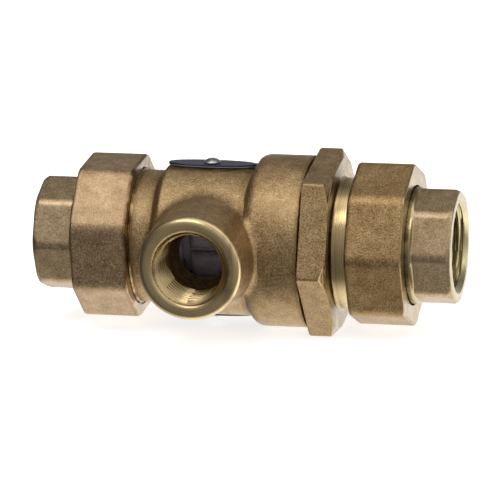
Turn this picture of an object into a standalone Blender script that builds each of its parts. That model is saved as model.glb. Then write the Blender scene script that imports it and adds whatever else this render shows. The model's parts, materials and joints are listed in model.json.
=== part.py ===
"""In-line dual check backflow preventer with an atmospheric vent, built as separate pieces.

Metres. X runs along the flow from the inlet's end face, Z is up, and the vent points to -Y.
"""
import math

import bmesh
import bpy
from mathutils import Matrix

# Gaps and edges used all over
GAP = 0.0003                 # between pieces that touch
RUNNING_GAP = 0.0003         # between pieces that slide or turn
THREAD_CHAMFER = 0.0008      # at the start of an outside thread
FINE_EDGE = 0.0005

# Unions: nuts and tailpieces, the same at both ends
UNION_THREAD_RADIUS = 0.0200
UNION_THREAD_LENGTH = 0.0085
TAIL_REACH = 0.0134          # tailpiece beyond its nut
TAIL_FLATS = 0.0324
TAIL_OCTAGON = 0.0116        # length of the octagon
TAIL_FLANGE_STEP = 0.0005    # its flange inside the union thread
TAIL_FLANGE = 0.0026
TAIL_BORE = 0.0114           # radius behind the pipe thread
PIPE_THREAD_RADIUS = 0.0120
PIPE_THREAD_DEPTH = 0.0140
PIPE_MOUTH_RADIUS = 0.0138
NUT_LENGTH = 0.0169
NUT_LIP = 0.0034
NUT_WALL = 0.00295           # from the union thread to the flats
NUT_CORNER_CUT = 0.0016      # how deep its corners are turned down at the end faces
GASKET = 0.0016
GASKET_BORE = 0.0132

# Body
NECK_STEP = 0.0002           # neck inside the union thread
NECK_LENGTH = 0.0151         # from the inlet face to the flare
FLARE_LENGTH = 0.0022
FLARE_EDGES = (0.0005, 0.0003, 0.0007, 0.0004)
WAIST_RADIUS = 0.0228
WAIST_WALL = 0.0032
WAIST_LENGTH = 0.0260
BARREL_WALL = 0.00145        # round the cap's O-ring
BARREL_SHOULDER = 0.0040     # radius of its rounded shoulder
BARREL_LENGTH = 0.0172
INLET_BORE = 0.0130
INLET_BORE_LENGTH = 0.0105
INLET_CHAMBER = 0.0165
BORE_CHAMFER = 0.0010
CLAMP_FACE = 0.0030          # from the flare to the face that clamps the diaphragm
THREAD_RELIEF = 0.0021       # beyond the cap's thread
PLATE_FLAT_CUT = 0.0008      # flats for the plates, below the waist's outside
PLATE_FLAT_START = 0.0008    # both of the flats' ends, towards the outlet from the waist's

# Vent, half-inch pipe thread
VENT_SHIFT = 0.0012          # towards the outlet from the waist's middle
VENT_STAND = 0.0170          # from the waist's outside to the vent's face
VENT_RADIUS = 0.0155
VENT_ROOT_RADIUS = 0.0166
VENT_ROOT_TAPER = 0.0030     # length over which the root narrows to the boss
VENT_RIM_ROUND = 0.0012
VENT_THREAD_RADIUS = 0.0095
VENT_THREAD_DEPTH = 0.0143
VENT_THREAD_END = 0.0008     # cone from the thread to the port
VENT_MOUTH_RADIUS = 0.01135
VENT_PORT_RADIUS = 0.0076
VENT_INNER_DEPTH = 0.0114    # where the boss and its bore start, from the valve's axis

# Hexagonal outlet cap
SEAM = 0.0003                # between the body and the hexagon
CAP_THREAD_STEP = 0.0024     # cap's thread outside the body's bore
CAP_THREAD_LENGTH = 0.0101
CAP_HEX_WALL = 0.00255       # from the cap's thread to the flats
CAP_HEX_LENGTH = 0.0084
CAP_CORNER_CUT = 0.0040      # how deep its corners are turned down at the end faces
CAP_UNION_LENGTH = 0.0135    # from the hexagon to the outlet face
CAP_NECK_STEP = 0.0006       # neck inside the union thread
CAP_THREAD_WALL = 0.0037
CAP_CAGE_SPACE = 0.0023      # round the second check's cage
CAP_NECK_BORE = 0.0130
CAP_NECK_BORE_LENGTH = 0.0070
CAP_BORE_CONE = 0.0020
CAP_ORING_WIRE = 0.0008      # radius of its section

# Strainer
STRAINER_RIM_RADIUS = 0.0147
STRAINER_RIM = 0.0006
STRAINER_SPACE = 0.0008      # between the cup and the inlet's bore
STRAINER_WALL = 0.0006
STRAINER_DEPTH = 0.0110
STRAINER_EDGE = 0.0010
STRAINER_BAND = 0.0024       # left whole at both ends of the slots
STRAINER_SLOTS = 8
STRAINER_OPEN = 0.7          # share of each pitch that is slot

# Diaphragm and first check
DIAPHRAGM = 0.0015
HUB_FLANGE_STEP = 0.0038     # its flange beyond the seat's nose
HUB_FLANGE = 0.0022
HUB_ENTRY = 0.0015           # cone at the start of the bore
HUB_EDGE = 0.0004

# Check modules, the same for both checks
SEAT_NOSE_RADIUS = 0.0088
SEAT_NOSE = 0.0060
SEAT_NOSE_EDGE = 0.0006
SEAT_NOSE_WALL = 0.0022
SEAT_LIP = 0.0007
SEAT_LIP_INSET = 0.0004
SEAT_LIP_CONE = 0.0008
DISC_STEP = 0.0002           # disc's radius inside the nose's
DISC = 0.0020
DISC_HELD = 0.0012           # depth of the disc in its holder
HOLDER_WALL = 0.0008
HOLDER_BACK = 0.0019
HOLDER_BOSS_RADIUS = 0.0056
HOLDER_BOSS = 0.0020
STEM_RADIUS = 0.0020
STEM_TAIL = 0.0010           # stem beyond the cage
SCREW_HEAD_RADIUS = 0.0036
SCREW_HEAD = 0.0011
SCREW_SHANK_RADIUS = 0.0017
SCREW_SHANK = 0.0050
CAGE_SPACE = 0.0007          # between the disc's holder and the cage
CAGE_WALL = 0.0013
CAGE_RING_EDGE = 0.0016      # from the ring's end to the nose's tip
CAGE_END = 0.0016
CAGE_DEPTH = 0.0226          # from the seat's flange to the cage's far face
CAGE_ARMS = 4
CAGE_OPEN = 0.68             # share of each pitch that is open
CAGE_BAND = 0.0010           # between the ring and the openings
CAGE_HUB_RADIUS = 0.0045
SPRING_RADIUS = 0.0072
SPRING_WIRE = 0.00045        # radius of the wire
SPRING_TURNS = 5
TRAVEL_SPACE = 0.0015        # from the diaphragm to the vent seat, less a gap

# Vent seat sleeve
SLEEVE_SPACE = 0.0005        # between the first check's cage and the sleeve
SLEEVE_WALL = 0.0020
SLEEVE_CLAMP_WALL = 0.0023
SLEEVE_CLAMP = 0.0030
SLEEVE_LIP = 0.0010          # thickness of the vent seat's lip
SLEEVE_WEB = 0.0020
SLEEVE_WEB_LAP = 0.0008      # web inside the clamp ring
SLEEVE_WEB_STEP = 0.0012     # web's far edge inside the clamp ring's outside
SLEEVE_SLOTS = 8
SLEEVE_OPEN = 0.6            # share of each pitch that is slot
SLOT_CLEARANCE = 0.0002
SLEEVE_FLANGE = 0.0038
ORING_WIRE = 0.0008
ORING_GROOVE = 0.0019
ORING_CLEARANCE = 0.0002     # to the body's bore
SECOND_SEAT_FLANGE = 0.0070
SECOND_SEAT_ENTRY = 0.0030   # cone at the start of the bore

# Identification plates and their rivets
PLATE_LENGTH = 0.0266
PLATE_WIDTH = 0.0076
PLATE = 0.0008
PLATE_SHIFT = 0.0004         # towards the inlet from the waist's middle
PLATE_HOLE = 0.0015
PLATE_ROUNDNESS = 2.3        # exponent of the oval outline
RIVET_HEAD_RADIUS = 0.0026
RIVET_HEAD = 0.0011
RIVET_SHANK_RADIUS = 0.0011
RIVET_SHANK = 0.0024

# How each polygon is turned about X, from +Z towards the vent's side
HEX_TURN = math.radians(39.7)
INLET_NUT_TURN = math.radians(27.2)
OUTLET_NUT_TURN = math.radians(-0.8)
INLET_TAIL_TURN = math.radians(0.2)
OUTLET_TAIL_TURN = math.radians(-1.2)

# Facets of round shapes
BODY_SIDES = 32
ROUND_SIDES = 24
SMALL_SIDES = 12
ORING_SIDES = 6
OVERSHOOT = 0.0010           # how far a cutter runs past what it cuts
CLEAR_RADIUS = 0.0600        # outer radius of cutters that trim from outside

# Radii that follow from the sizes above
NECK_RADIUS = UNION_THREAD_RADIUS - NECK_STEP
TAIL_FLANGE_RADIUS = UNION_THREAD_RADIUS - TAIL_FLANGE_STEP
NUT_FLATS = 2 * (UNION_THREAD_RADIUS + NUT_WALL)
BODY_BORE = WAIST_RADIUS - WAIST_WALL
PLATE_FLAT_HEIGHT = WAIST_RADIUS - PLATE_FLAT_CUT
VENT_REACH = WAIST_RADIUS + VENT_STAND
CAP_THREAD_RADIUS = BODY_BORE + CAP_THREAD_STEP
SEAT_BORE = SEAT_NOSE_RADIUS - SEAT_NOSE_WALL
ORING_SEAT_RADIUS = CAP_THREAD_RADIUS + 2 * CAP_ORING_WIRE + 2 * GAP
BARREL_RADIUS = ORING_SEAT_RADIUS + BARREL_WALL
CAP_FLATS = 2 * (CAP_THREAD_RADIUS + CAP_HEX_WALL)
CAP_NECK_RADIUS = UNION_THREAD_RADIUS - CAP_NECK_STEP
CAP_BORE = CAP_THREAD_RADIUS - CAP_THREAD_WALL
DIAPHRAGM_BORE = SEAT_NOSE_RADIUS + GAP
HUB_FLANGE_RADIUS = SEAT_NOSE_RADIUS + HUB_FLANGE_STEP
DISC_RADIUS = SEAT_NOSE_RADIUS - DISC_STEP
HOLDER_RADIUS = DISC_RADIUS + GAP + HOLDER_WALL
CAGE_RADIUS = HOLDER_RADIUS + CAGE_SPACE + CAGE_WALL
CAP_CAGE_BORE = CAGE_RADIUS + CAP_CAGE_SPACE
SLEEVE_RADIUS = BODY_BORE - RUNNING_GAP
SLEEVE_BORE = CAGE_RADIUS + SLEEVE_SPACE
SLEEVE_CLAMP_BORE = SLEEVE_RADIUS - SLEEVE_CLAMP_WALL
ORING_GROOVE_FLOOR = BODY_BORE - ORING_CLEARANCE - 2 * ORING_WIRE - GAP
STRAINER_RADIUS = INLET_BORE - STRAINER_SPACE

# Places along the flow, from the sizes above
TAIL_LENGTH = TAIL_REACH + NUT_LIP + GAP + TAIL_FLANGE
BODY_START = TAIL_LENGTH + GAP + GASKET + GAP
FLARE_X = BODY_START + NECK_LENGTH
WAIST_X = FLARE_X + FLARE_LENGTH
BARREL_X = WAIST_X + WAIST_LENGTH
BODY_END = BARREL_X + BARREL_LENGTH
WAIST_MIDDLE = (WAIST_X + BARREL_X) / 2
VENT_X = WAIST_MIDDLE + VENT_SHIFT
PLATE_X = WAIST_MIDDLE - PLATE_SHIFT
HEX_X = BODY_END + SEAM
HEX_END = HEX_X + CAP_HEX_LENGTH
CAP_END = HEX_END + CAP_UNION_LENGTH
OVERALL_LENGTH = CAP_END + BODY_START
CLAMP_X = FLARE_X + CLAMP_FACE
DIAPHRAGM_X = CLAMP_X + GAP
HUB_FACE_X = DIAPHRAGM_X - GAP
SLEEVE_X = DIAPHRAGM_X + DIAPHRAGM + GAP
CAP_START = HEX_X - CAP_THREAD_LENGTH
BODY_THREAD_X = CAP_START - THREAD_RELIEF
SEAT_FACE_X = CAP_START - GAP
SEAT_X = SEAT_FACE_X - SECOND_SEAT_FLANGE
SLEEVE_END = SEAT_X - GAP


def clear_scene():
    for item in list(bpy.data.objects):
        bpy.data.objects.remove(item, do_unlink=True)


def finish(name, colour, roughness, metallic):
    """A plain Principled BSDF material."""
    material = bpy.data.materials.new(name)
    material.use_nodes = True
    shader = material.node_tree.nodes["Principled BSDF"]
    shader.inputs["Base Color"].default_value = (*colour, 1.0)
    shader.inputs["Roughness"].default_value = roughness
    shader.inputs["Metallic"].default_value = metallic
    return material


def cast_bronze():
    return finish("cast_bronze", (0.42, 0.29, 0.13), 0.55, 0.9)


def machined_brass():
    return finish("machined_brass", (0.62, 0.47, 0.20), 0.30, 1.0)


def cast_brass():
    return finish("cast_brass", (0.36, 0.30, 0.17), 0.45, 0.9)


def black_rubber():
    return finish("black_rubber", (0.03, 0.03, 0.03), 0.80, 0.0)


def grey_acetal():
    return finish("grey_acetal", (0.22, 0.20, 0.22), 0.45, 0.0)


def stainless():
    return finish("stainless_steel", (0.60, 0.60, 0.58), 0.30, 1.0)


def navy_plate():
    return finish("navy_plate", (0.03, 0.05, 0.10), 0.40, 0.3)


def new_object(name, mesh, material):
    """Turn a bmesh into a smooth-shaded object with its normals facing out."""
    bmesh.ops.remove_doubles(mesh, verts=mesh.verts, dist=1e-7)
    bmesh.ops.recalc_face_normals(mesh, faces=mesh.faces)
    data = bpy.data.meshes.new(name)
    mesh.to_mesh(data)
    mesh.free()
    data.shade_smooth()
    data.set_sharp_from_angle(angle=math.radians(30))
    piece = bpy.data.objects.new(name, data)
    if material:
        data.materials.append(material)
    bpy.context.scene.collection.objects.link(piece)
    return piece


def turned(name, outline, material=None, sides=ROUND_SIDES):
    """Spin a closed outline of (x, radius) points about X; points on the axis stay open there."""
    mesh = bmesh.new()
    corners = [mesh.verts.new((x, 0.0, radius)) for x, radius in outline]
    edges = []
    for first, second in zip(corners, corners[1:] + corners[:1]):
        if first.co.z > 0.0 or second.co.z > 0.0:
            edges.append(mesh.edges.new((first, second)))
    bmesh.ops.spin(mesh, geom=corners + edges, cent=(0, 0, 0), axis=(1, 0, 0),
                   angle=2 * math.pi, steps=sides, use_merge=True)
    return new_object(name, mesh, material)


def mirrored(outline, plane_to_x):
    """The same outline seen from the other end, where x becomes plane_to_x - x."""
    return [(plane_to_x - x, radius) for x, radius in reversed(outline)]


def arc(centre_x, centre_r, radius, start, end, steps):
    """Points of (x, radius) on an arc, angles in degrees from +X towards larger radius."""
    points = []
    for step in range(steps + 1):
        angle = math.radians(start + (end - start) * step / steps)
        points.append((centre_x + radius * math.cos(angle), centre_r + radius * math.sin(angle)))
    return points


def box(name, low, high):
    mesh = bmesh.new()
    bmesh.ops.create_cube(mesh, size=1.0)
    for vert in mesh.verts:
        for axis in range(3):
            vert.co[axis] = high[axis] if vert.co[axis] > 0 else low[axis]
    return new_object(name, mesh, None)


def boolean(piece, cutter, operation="DIFFERENCE"):
    """Cut or join with a helper, which is left out of the part."""
    cutter.hide_render = True
    cutter.display_type = "WIRE"
    modifier = piece.modifiers.new(cutter.name, "BOOLEAN")
    modifier.operation = operation
    modifier.object = cutter
    return piece


def along_vent(piece):
    """Move a piece turned about X onto the vent's axis, pointing to -Y."""
    piece.matrix_world = Matrix.Translation((VENT_X, 0, 0)) @ Matrix.Rotation(-math.pi / 2, 4, "Z")
    return piece


def upright(piece, x, side):
    """Stand a piece turned about X along Z: up for side 1, down for side -1."""
    piece.matrix_world = Matrix.Translation((x, 0, 0)) @ Matrix.Rotation(-side * math.pi / 2, 4, "Y")
    return piece


def polygon_trim(piece, start, end, sides, flats, turn):
    """Leave only what lies inside a regular polygon, between two places along X."""
    mesh = bmesh.new()
    corner_radius = flats / 2 / math.cos(math.pi / sides)
    rings = []
    for x, radius in ((start, CLEAR_RADIUS), (start, corner_radius),
                      (end, corner_radius), (end, CLEAR_RADIUS)):
        ring = []
        for corner in range(sides):
            angle = turn + 2 * math.pi * corner / sides
            ring.append(mesh.verts.new((x, -radius * math.sin(angle), radius * math.cos(angle))))
        rings.append(ring)
    for ring, following in zip(rings, rings[1:] + rings[:1]):
        for corner in range(sides):
            after = (corner + 1) % sides
            mesh.faces.new((ring[corner], ring[after], following[after], following[corner]))
    cutter = new_object(piece.name + "_flats", mesh, None)
    return boolean(piece, cutter)


def slots(piece, count, share, inner, outer, start, end):
    """Cut evenly spaced slots through a turned wall; share is the open part of each pitch."""
    pitch = 2 * math.pi / count
    steps = 3
    for number in range(count):
        mesh = bmesh.new()
        begin = pitch * (number - share / 2)
        outline = []
        for x, radius in ((start, inner), (end, inner), (end, outer), (start, outer)):
            outline.append(mesh.verts.new((x, radius * math.sin(begin), radius * math.cos(begin))))
        face = mesh.faces.new(outline)
        geometry = [face, *face.edges, *face.verts]
        bmesh.ops.spin(mesh, geom=geometry, cent=(0, 0, 0), axis=(-1, 0, 0),
                       angle=pitch * share, steps=steps)
        cutter = new_object(f"{piece.name}_slot_{number + 1}", mesh, None)
        boolean(piece, cutter)
    return piece


def oring(name, centre_x, inner_radius, wire):
    outline = arc(centre_x, inner_radius + wire, wire, 0, 360 - 360 / ORING_SIDES, ORING_SIDES - 1)
    return turned(name, outline, black_rubber())


def body_outside():
    """Outer outline of the casting, from the inlet face to the barrel's end."""
    thread_end = BODY_START + UNION_THREAD_LENGTH
    start_x, start_rise, end_x, end_fall = FLARE_EDGES
    outline = [
        (BODY_START, 0.0),
        (BODY_START, UNION_THREAD_RADIUS - THREAD_CHAMFER),
        (BODY_START + THREAD_CHAMFER, UNION_THREAD_RADIUS),
        (thread_end, UNION_THREAD_RADIUS),
        (thread_end, NECK_RADIUS),
        (FLARE_X, NECK_RADIUS),
        (FLARE_X + start_x, NECK_RADIUS + start_rise),
        (WAIST_X - end_x, WAIST_RADIUS - end_fall),
        (WAIST_X, WAIST_RADIUS),
        (BARREL_X, WAIST_RADIUS),
    ]
    centre_r = BARREL_RADIUS - BARREL_SHOULDER
    start = 180 - math.degrees(math.asin((WAIST_RADIUS + GAP - centre_r) / BARREL_SHOULDER))
    outline += arc(BARREL_X + BARREL_SHOULDER, centre_r, BARREL_SHOULDER, start, 90, 4)
    outline += [
        (BODY_END - FINE_EDGE, BARREL_RADIUS),
        (BODY_END, BARREL_RADIUS - FINE_EDGE),
        (BODY_END, 0.0),
    ]
    return outline


def body_cavity():
    """Outline of the stepped bore, run past both ends."""
    recess_end = BODY_START + 2 * GAP + STRAINER_RIM + GAP
    bore_end = BODY_START + INLET_BORE_LENGTH
    oring_x = BODY_END - 2 * CAP_ORING_WIRE - GAP
    return [
        (BODY_START - OVERSHOOT, 0.0),
        (BODY_START - OVERSHOOT, STRAINER_RIM_RADIUS + GAP),
        (recess_end, STRAINER_RIM_RADIUS + GAP),
        (recess_end, INLET_BORE),
        (bore_end, INLET_BORE),
        (bore_end + BORE_CHAMFER, INLET_CHAMBER),
        (CLAMP_X, INLET_CHAMBER),
        (CLAMP_X, BODY_BORE),
        (BODY_THREAD_X, BODY_BORE),
        (BODY_THREAD_X, CAP_THREAD_RADIUS + RUNNING_GAP),
        (oring_x, CAP_THREAD_RADIUS + RUNNING_GAP),
        (oring_x, ORING_SEAT_RADIUS),
        (BODY_END + OVERSHOOT, ORING_SEAT_RADIUS),
        (BODY_END + OVERSHOOT, 0.0),
    ]


def main_body():
    body = turned("main_body", body_outside(), cast_bronze(), BODY_SIDES)
    rim = arc(VENT_REACH - VENT_RIM_ROUND, VENT_RADIUS - VENT_RIM_ROUND, VENT_RIM_ROUND, 90, 0, 2)
    boss = turned("vent_boss", [
        (VENT_INNER_DEPTH, 0.0),
        (VENT_INNER_DEPTH, VENT_ROOT_RADIUS),
        (WAIST_RADIUS, VENT_ROOT_RADIUS),
        (WAIST_RADIUS + VENT_ROOT_TAPER, VENT_RADIUS),
        *rim,
        (VENT_REACH, 0.0),
    ], sides=BODY_SIDES)
    boolean(body, along_vent(boss), "UNION")
    for side, place in ((1, "top"), (-1, "bottom")):
        heights = sorted((side * PLATE_FLAT_HEIGHT, side * CLEAR_RADIUS))
        flat = box(place + "_flat", (FLARE_X + PLATE_FLAT_START, -WAIST_RADIUS, heights[0]),
                   (BARREL_X + PLATE_FLAT_START, WAIST_RADIUS, heights[1]))
        boolean(body, flat)
    boolean(body, turned("body_cavity", body_cavity(), sides=BODY_SIDES))
    mouth = VENT_MOUTH_RADIUS - VENT_THREAD_RADIUS
    thread_end = VENT_REACH - VENT_THREAD_DEPTH
    vent = turned("vent_bore", [
        (VENT_INNER_DEPTH, 0.0),
        (VENT_INNER_DEPTH, VENT_PORT_RADIUS),
        (thread_end - VENT_THREAD_END, VENT_PORT_RADIUS),
        (thread_end, VENT_THREAD_RADIUS),
        (VENT_REACH - mouth, VENT_THREAD_RADIUS),
        (VENT_REACH, VENT_MOUTH_RADIUS),
        (VENT_REACH + OVERSHOOT, VENT_MOUTH_RADIUS),
        (VENT_REACH + OVERSHOOT, 0.0),
    ])
    boolean(body, along_vent(vent))
    for side, place in ((1, "top"), (-1, "bottom")):
        hole_floor = plate_underside() + PLATE + GAP - RIVET_SHANK - GAP
        hole = turned(place + "_rivet_hole", [
            (hole_floor, 0.0), (hole_floor, RIVET_SHANK_RADIUS + RUNNING_GAP),
            (WAIST_RADIUS, RIVET_SHANK_RADIUS + RUNNING_GAP), (WAIST_RADIUS, 0.0),
        ], sides=SMALL_SIDES)
        boolean(body, upright(hole, PLATE_X, side))
    return body


def outlet_cap():
    """Hexagon with the body thread on one side and the union thread on the other."""
    corner = CAP_FLATS / 2 / math.cos(math.pi / 6)
    face_radius = corner - CAP_CORNER_CUT
    slope = CAP_CORNER_CUT * math.tan(math.radians(30))
    cap = turned("outlet_cap", [
        (CAP_START, CAP_BORE),
        (CAP_START, CAP_THREAD_RADIUS - THREAD_CHAMFER),
        (CAP_START + THREAD_CHAMFER, CAP_THREAD_RADIUS),
        (HEX_X, CAP_THREAD_RADIUS),
        (HEX_X, face_radius),
        (HEX_X + slope, corner),
        (HEX_END - slope, corner),
        (HEX_END, face_radius),
        (HEX_END, CAP_NECK_RADIUS),
        (CAP_END - UNION_THREAD_LENGTH, CAP_NECK_RADIUS),
        (CAP_END - UNION_THREAD_LENGTH, UNION_THREAD_RADIUS),
        (CAP_END - THREAD_CHAMFER, UNION_THREAD_RADIUS),
        (CAP_END, UNION_THREAD_RADIUS - THREAD_CHAMFER),
        (CAP_END, CAP_NECK_BORE),
        (CAP_END - CAP_NECK_BORE_LENGTH, CAP_NECK_BORE),
        (CAP_END - CAP_NECK_BORE_LENGTH - BORE_CHAMFER, CAP_CAGE_BORE),
        (HEX_X + CAP_HEX_LENGTH / 2 + CAP_BORE_CONE, CAP_CAGE_BORE),
        (HEX_X + CAP_HEX_LENGTH / 2, CAP_BORE),
    ], cast_bronze(), BODY_SIDES)
    return polygon_trim(cap, HEX_X - OVERSHOOT / 2, HEX_END + OVERSHOOT / 2, 6, CAP_FLATS, HEX_TURN)


def union_nut(name, turn, mirror):
    """Octagonal nut with a lip that pulls the tailpiece's flange against the body."""
    corner = NUT_FLATS / 2 / math.cos(math.pi / 8)
    face_radius = corner - NUT_CORNER_CUT
    slope = NUT_CORNER_CUT * math.tan(math.radians(30))
    start = TAIL_REACH
    end = start + NUT_LENGTH
    lip_bore = TAIL_FLATS / 2 / math.cos(math.pi / 8) + RUNNING_GAP
    bore = UNION_THREAD_RADIUS + RUNNING_GAP
    outline = [
        (start, lip_bore),
        (start, face_radius),
        (start + slope, corner),
        (end - slope, corner),
        (end, face_radius),
        (end, bore),
        (start + NUT_LIP, bore),
        (start + NUT_LIP, lip_bore),
    ]
    trim = (start - OVERSHOOT, end + OVERSHOOT)
    if mirror:
        outline = mirrored(outline, OVERALL_LENGTH)
        trim = (OVERALL_LENGTH - trim[1], OVERALL_LENGTH - trim[0])
    nut = turned(name, outline, cast_bronze(), BODY_SIDES)
    return polygon_trim(nut, trim[0], trim[1], 8, NUT_FLATS, turn)


def tailpiece(name, turn, mirror):
    """Octagonal end with a pipe thread, a round collar and a flange inside the nut."""
    corner = TAIL_FLATS / 2 / math.cos(math.pi / 8)
    flange_x = TAIL_LENGTH - TAIL_FLANGE
    outline = [
        (0.0, PIPE_MOUTH_RADIUS),
        (0.0, corner - FINE_EDGE),
        (FINE_EDGE, corner),
        (flange_x, corner),
        (flange_x, TAIL_FLANGE_RADIUS),
        (TAIL_LENGTH, TAIL_FLANGE_RADIUS),
        (TAIL_LENGTH, TAIL_BORE),
        (PIPE_THREAD_DEPTH, TAIL_BORE),
        (PIPE_THREAD_DEPTH, PIPE_THREAD_RADIUS),
        (PIPE_MOUTH_RADIUS - PIPE_THREAD_RADIUS, PIPE_THREAD_RADIUS),
    ]
    trim = (-OVERSHOOT, TAIL_OCTAGON)
    if mirror:
        outline = mirrored(outline, OVERALL_LENGTH)
        trim = (OVERALL_LENGTH - trim[1], OVERALL_LENGTH - trim[0])
    piece = turned(name, outline, cast_brass(), BODY_SIDES)
    return polygon_trim(piece, trim[0], trim[1], 8, TAIL_FLATS, turn)


def union_gasket(name, mirror):
    start = TAIL_LENGTH + GAP
    outline = [
        (start, GASKET_BORE),
        (start, TAIL_FLANGE_RADIUS - GAP),
        (start + GASKET, TAIL_FLANGE_RADIUS - GAP),
        (start + GASKET, GASKET_BORE),
    ]
    if mirror:
        outline = mirrored(outline, OVERALL_LENGTH)
    return turned(name, outline, black_rubber())


def cap_oring():
    centre_x = BODY_END - CAP_ORING_WIRE
    return oring("cap_oring", centre_x, CAP_THREAD_RADIUS + GAP, CAP_ORING_WIRE)


def strainer_screen():
    """Cup that opens towards the inlet, its rim held by the gasket."""
    rim_x = BODY_START + GAP
    bottom = rim_x + STRAINER_DEPTH
    inside = STRAINER_RADIUS - STRAINER_WALL
    cup = turned("strainer_screen", [
        (rim_x, inside),
        (rim_x, STRAINER_RIM_RADIUS),
        (rim_x + STRAINER_RIM, STRAINER_RIM_RADIUS),
        (rim_x + STRAINER_RIM, STRAINER_RADIUS),
        (bottom - STRAINER_EDGE, STRAINER_RADIUS),
        (bottom, STRAINER_RADIUS - STRAINER_EDGE),
        (bottom, 0.0),
        (bottom - STRAINER_WALL, 0.0),
        (bottom - STRAINER_WALL, inside),
    ], stainless())
    return slots(cup, STRAINER_SLOTS, STRAINER_OPEN, inside - OVERSHOOT, STRAINER_RADIUS + OVERSHOOT,
                 rim_x + STRAINER_BAND, bottom - STRAINER_BAND)


def diaphragm():
    """Rubber ring, its rim held between body and sleeve and its bore between hub and cage."""
    return turned("diaphragm", [
        (DIAPHRAGM_X, DIAPHRAGM_BORE),
        (DIAPHRAGM_X, SLEEVE_RADIUS),
        (DIAPHRAGM_X + DIAPHRAGM, SLEEVE_RADIUS),
        (DIAPHRAGM_X + DIAPHRAGM, DIAPHRAGM_BORE),
    ], black_rubber())


def seat_nose(face_x):
    """Outline of the nose and seat lip, from the flange's outer edge to the bore."""
    tip = face_x + SEAT_NOSE
    return [
        (face_x, SEAT_NOSE_RADIUS),
        (tip - SEAT_NOSE_EDGE, SEAT_NOSE_RADIUS),
        (tip, SEAT_BORE + SEAT_LIP + SEAT_LIP_INSET),
        (tip, SEAT_BORE + SEAT_LIP_INSET),
        (tip - SEAT_LIP_CONE, SEAT_BORE),
    ]


def first_check_seat():
    """Hub through the diaphragm, with the seat on its nose."""
    start = HUB_FACE_X - HUB_FLANGE
    outline = [
        (start, SEAT_BORE + HUB_ENTRY),
        (start, HUB_FLANGE_RADIUS - HUB_EDGE),
        (start + HUB_EDGE, HUB_FLANGE_RADIUS),
        (HUB_FACE_X, HUB_FLANGE_RADIUS),
    ]
    outline += seat_nose(HUB_FACE_X)
    outline.append((start + HUB_ENTRY, SEAT_BORE))
    return turned("first_check_seat", outline, machined_brass())


def second_check_seat():
    """Seat ring that the cap clamps against the sleeve, sealed by an O-ring."""
    groove = SEAT_X + (SECOND_SEAT_FLANGE - ORING_GROOVE) / 2
    outline = [
        (SEAT_X, SEAT_BORE + SECOND_SEAT_ENTRY),
        (SEAT_X, SLEEVE_RADIUS),
        (groove, SLEEVE_RADIUS),
        (groove, ORING_GROOVE_FLOOR),
        (groove + ORING_GROOVE, ORING_GROOVE_FLOOR),
        (groove + ORING_GROOVE, SLEEVE_RADIUS),
        (SEAT_FACE_X, SLEEVE_RADIUS),
    ]
    outline += seat_nose(SEAT_FACE_X)
    outline.append((SEAT_X + SECOND_SEAT_ENTRY, SEAT_BORE))
    return turned("second_check_seat", outline, machined_brass())


def check_cage(name, face_x, ring_x):
    """Cage round a poppet: a ring on the seat's nose, arms, and a spider that guides the stem."""
    inside = CAGE_RADIUS - CAGE_WALL
    ring_bore = SEAT_NOSE_RADIUS + GAP
    ring_end = face_x + SEAT_NOSE - CAGE_RING_EDGE
    end = face_x + CAGE_DEPTH
    guide = STEM_RADIUS + RUNNING_GAP
    cage = turned(name, [
        (ring_x, ring_bore),
        (ring_x, CAGE_RADIUS),
        (end, CAGE_RADIUS),
        (end, guide),
        (end - CAGE_END, guide),
        (end - CAGE_END, inside),
        (ring_end, inside),
        (ring_end, ring_bore),
    ], grey_acetal())
    return slots(cage, CAGE_ARMS, CAGE_OPEN, CAGE_HUB_RADIUS, CAGE_RADIUS + OVERSHOOT,
                 ring_end + CAGE_BAND, end + OVERSHOOT)


def holder_floor(face_x):
    """Where the rubber disc's back rests in its holder."""
    return face_x + SEAT_NOSE + GAP + DISC + GAP


def disc_holder(name, face_x):
    floor = holder_floor(face_x)
    back = floor + HOLDER_BACK
    boss = back + HOLDER_BOSS
    stem_end = face_x + CAGE_DEPTH + STEM_TAIL
    hole = SCREW_SHANK_RADIUS + GAP
    hole_end = face_x + SEAT_NOSE + SCREW_SHANK + GAP
    lip = floor - DISC_HELD
    return turned(name, [
        (floor, hole),
        (floor, DISC_RADIUS + GAP),
        (lip, DISC_RADIUS + GAP),
        (lip, HOLDER_RADIUS),
        (back, HOLDER_RADIUS),
        (back, HOLDER_BOSS_RADIUS),
        (boss, HOLDER_BOSS_RADIUS),
        (boss, STEM_RADIUS),
        (stem_end - FINE_EDGE, STEM_RADIUS),
        (stem_end, STEM_RADIUS - FINE_EDGE),
        (stem_end, 0.0),
        (hole_end, 0.0),
        (hole_end, hole),
    ], grey_acetal())


def check_disc(name, face_x):
    start = face_x + SEAT_NOSE + GAP
    bore = SCREW_SHANK_RADIUS + GAP
    return turned(name, [
        (start, bore), (start, DISC_RADIUS), (start + DISC, DISC_RADIUS), (start + DISC, bore),
    ], black_rubber())


def disc_screw(name, face_x):
    """Screw that holds the disc in its holder, head towards the flow."""
    under_head = face_x + SEAT_NOSE
    return turned(name, [
        (under_head - SCREW_HEAD, 0.0),
        (under_head - SCREW_HEAD, SCREW_HEAD_RADIUS - FINE_EDGE),
        (under_head - SCREW_HEAD + FINE_EDGE, SCREW_HEAD_RADIUS),
        (under_head, SCREW_HEAD_RADIUS),
        (under_head, SCREW_SHANK_RADIUS),
        (under_head + SCREW_SHANK, SCREW_SHANK_RADIUS),
        (under_head + SCREW_SHANK, 0.0),
    ], stainless(), SMALL_SIDES)


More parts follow.
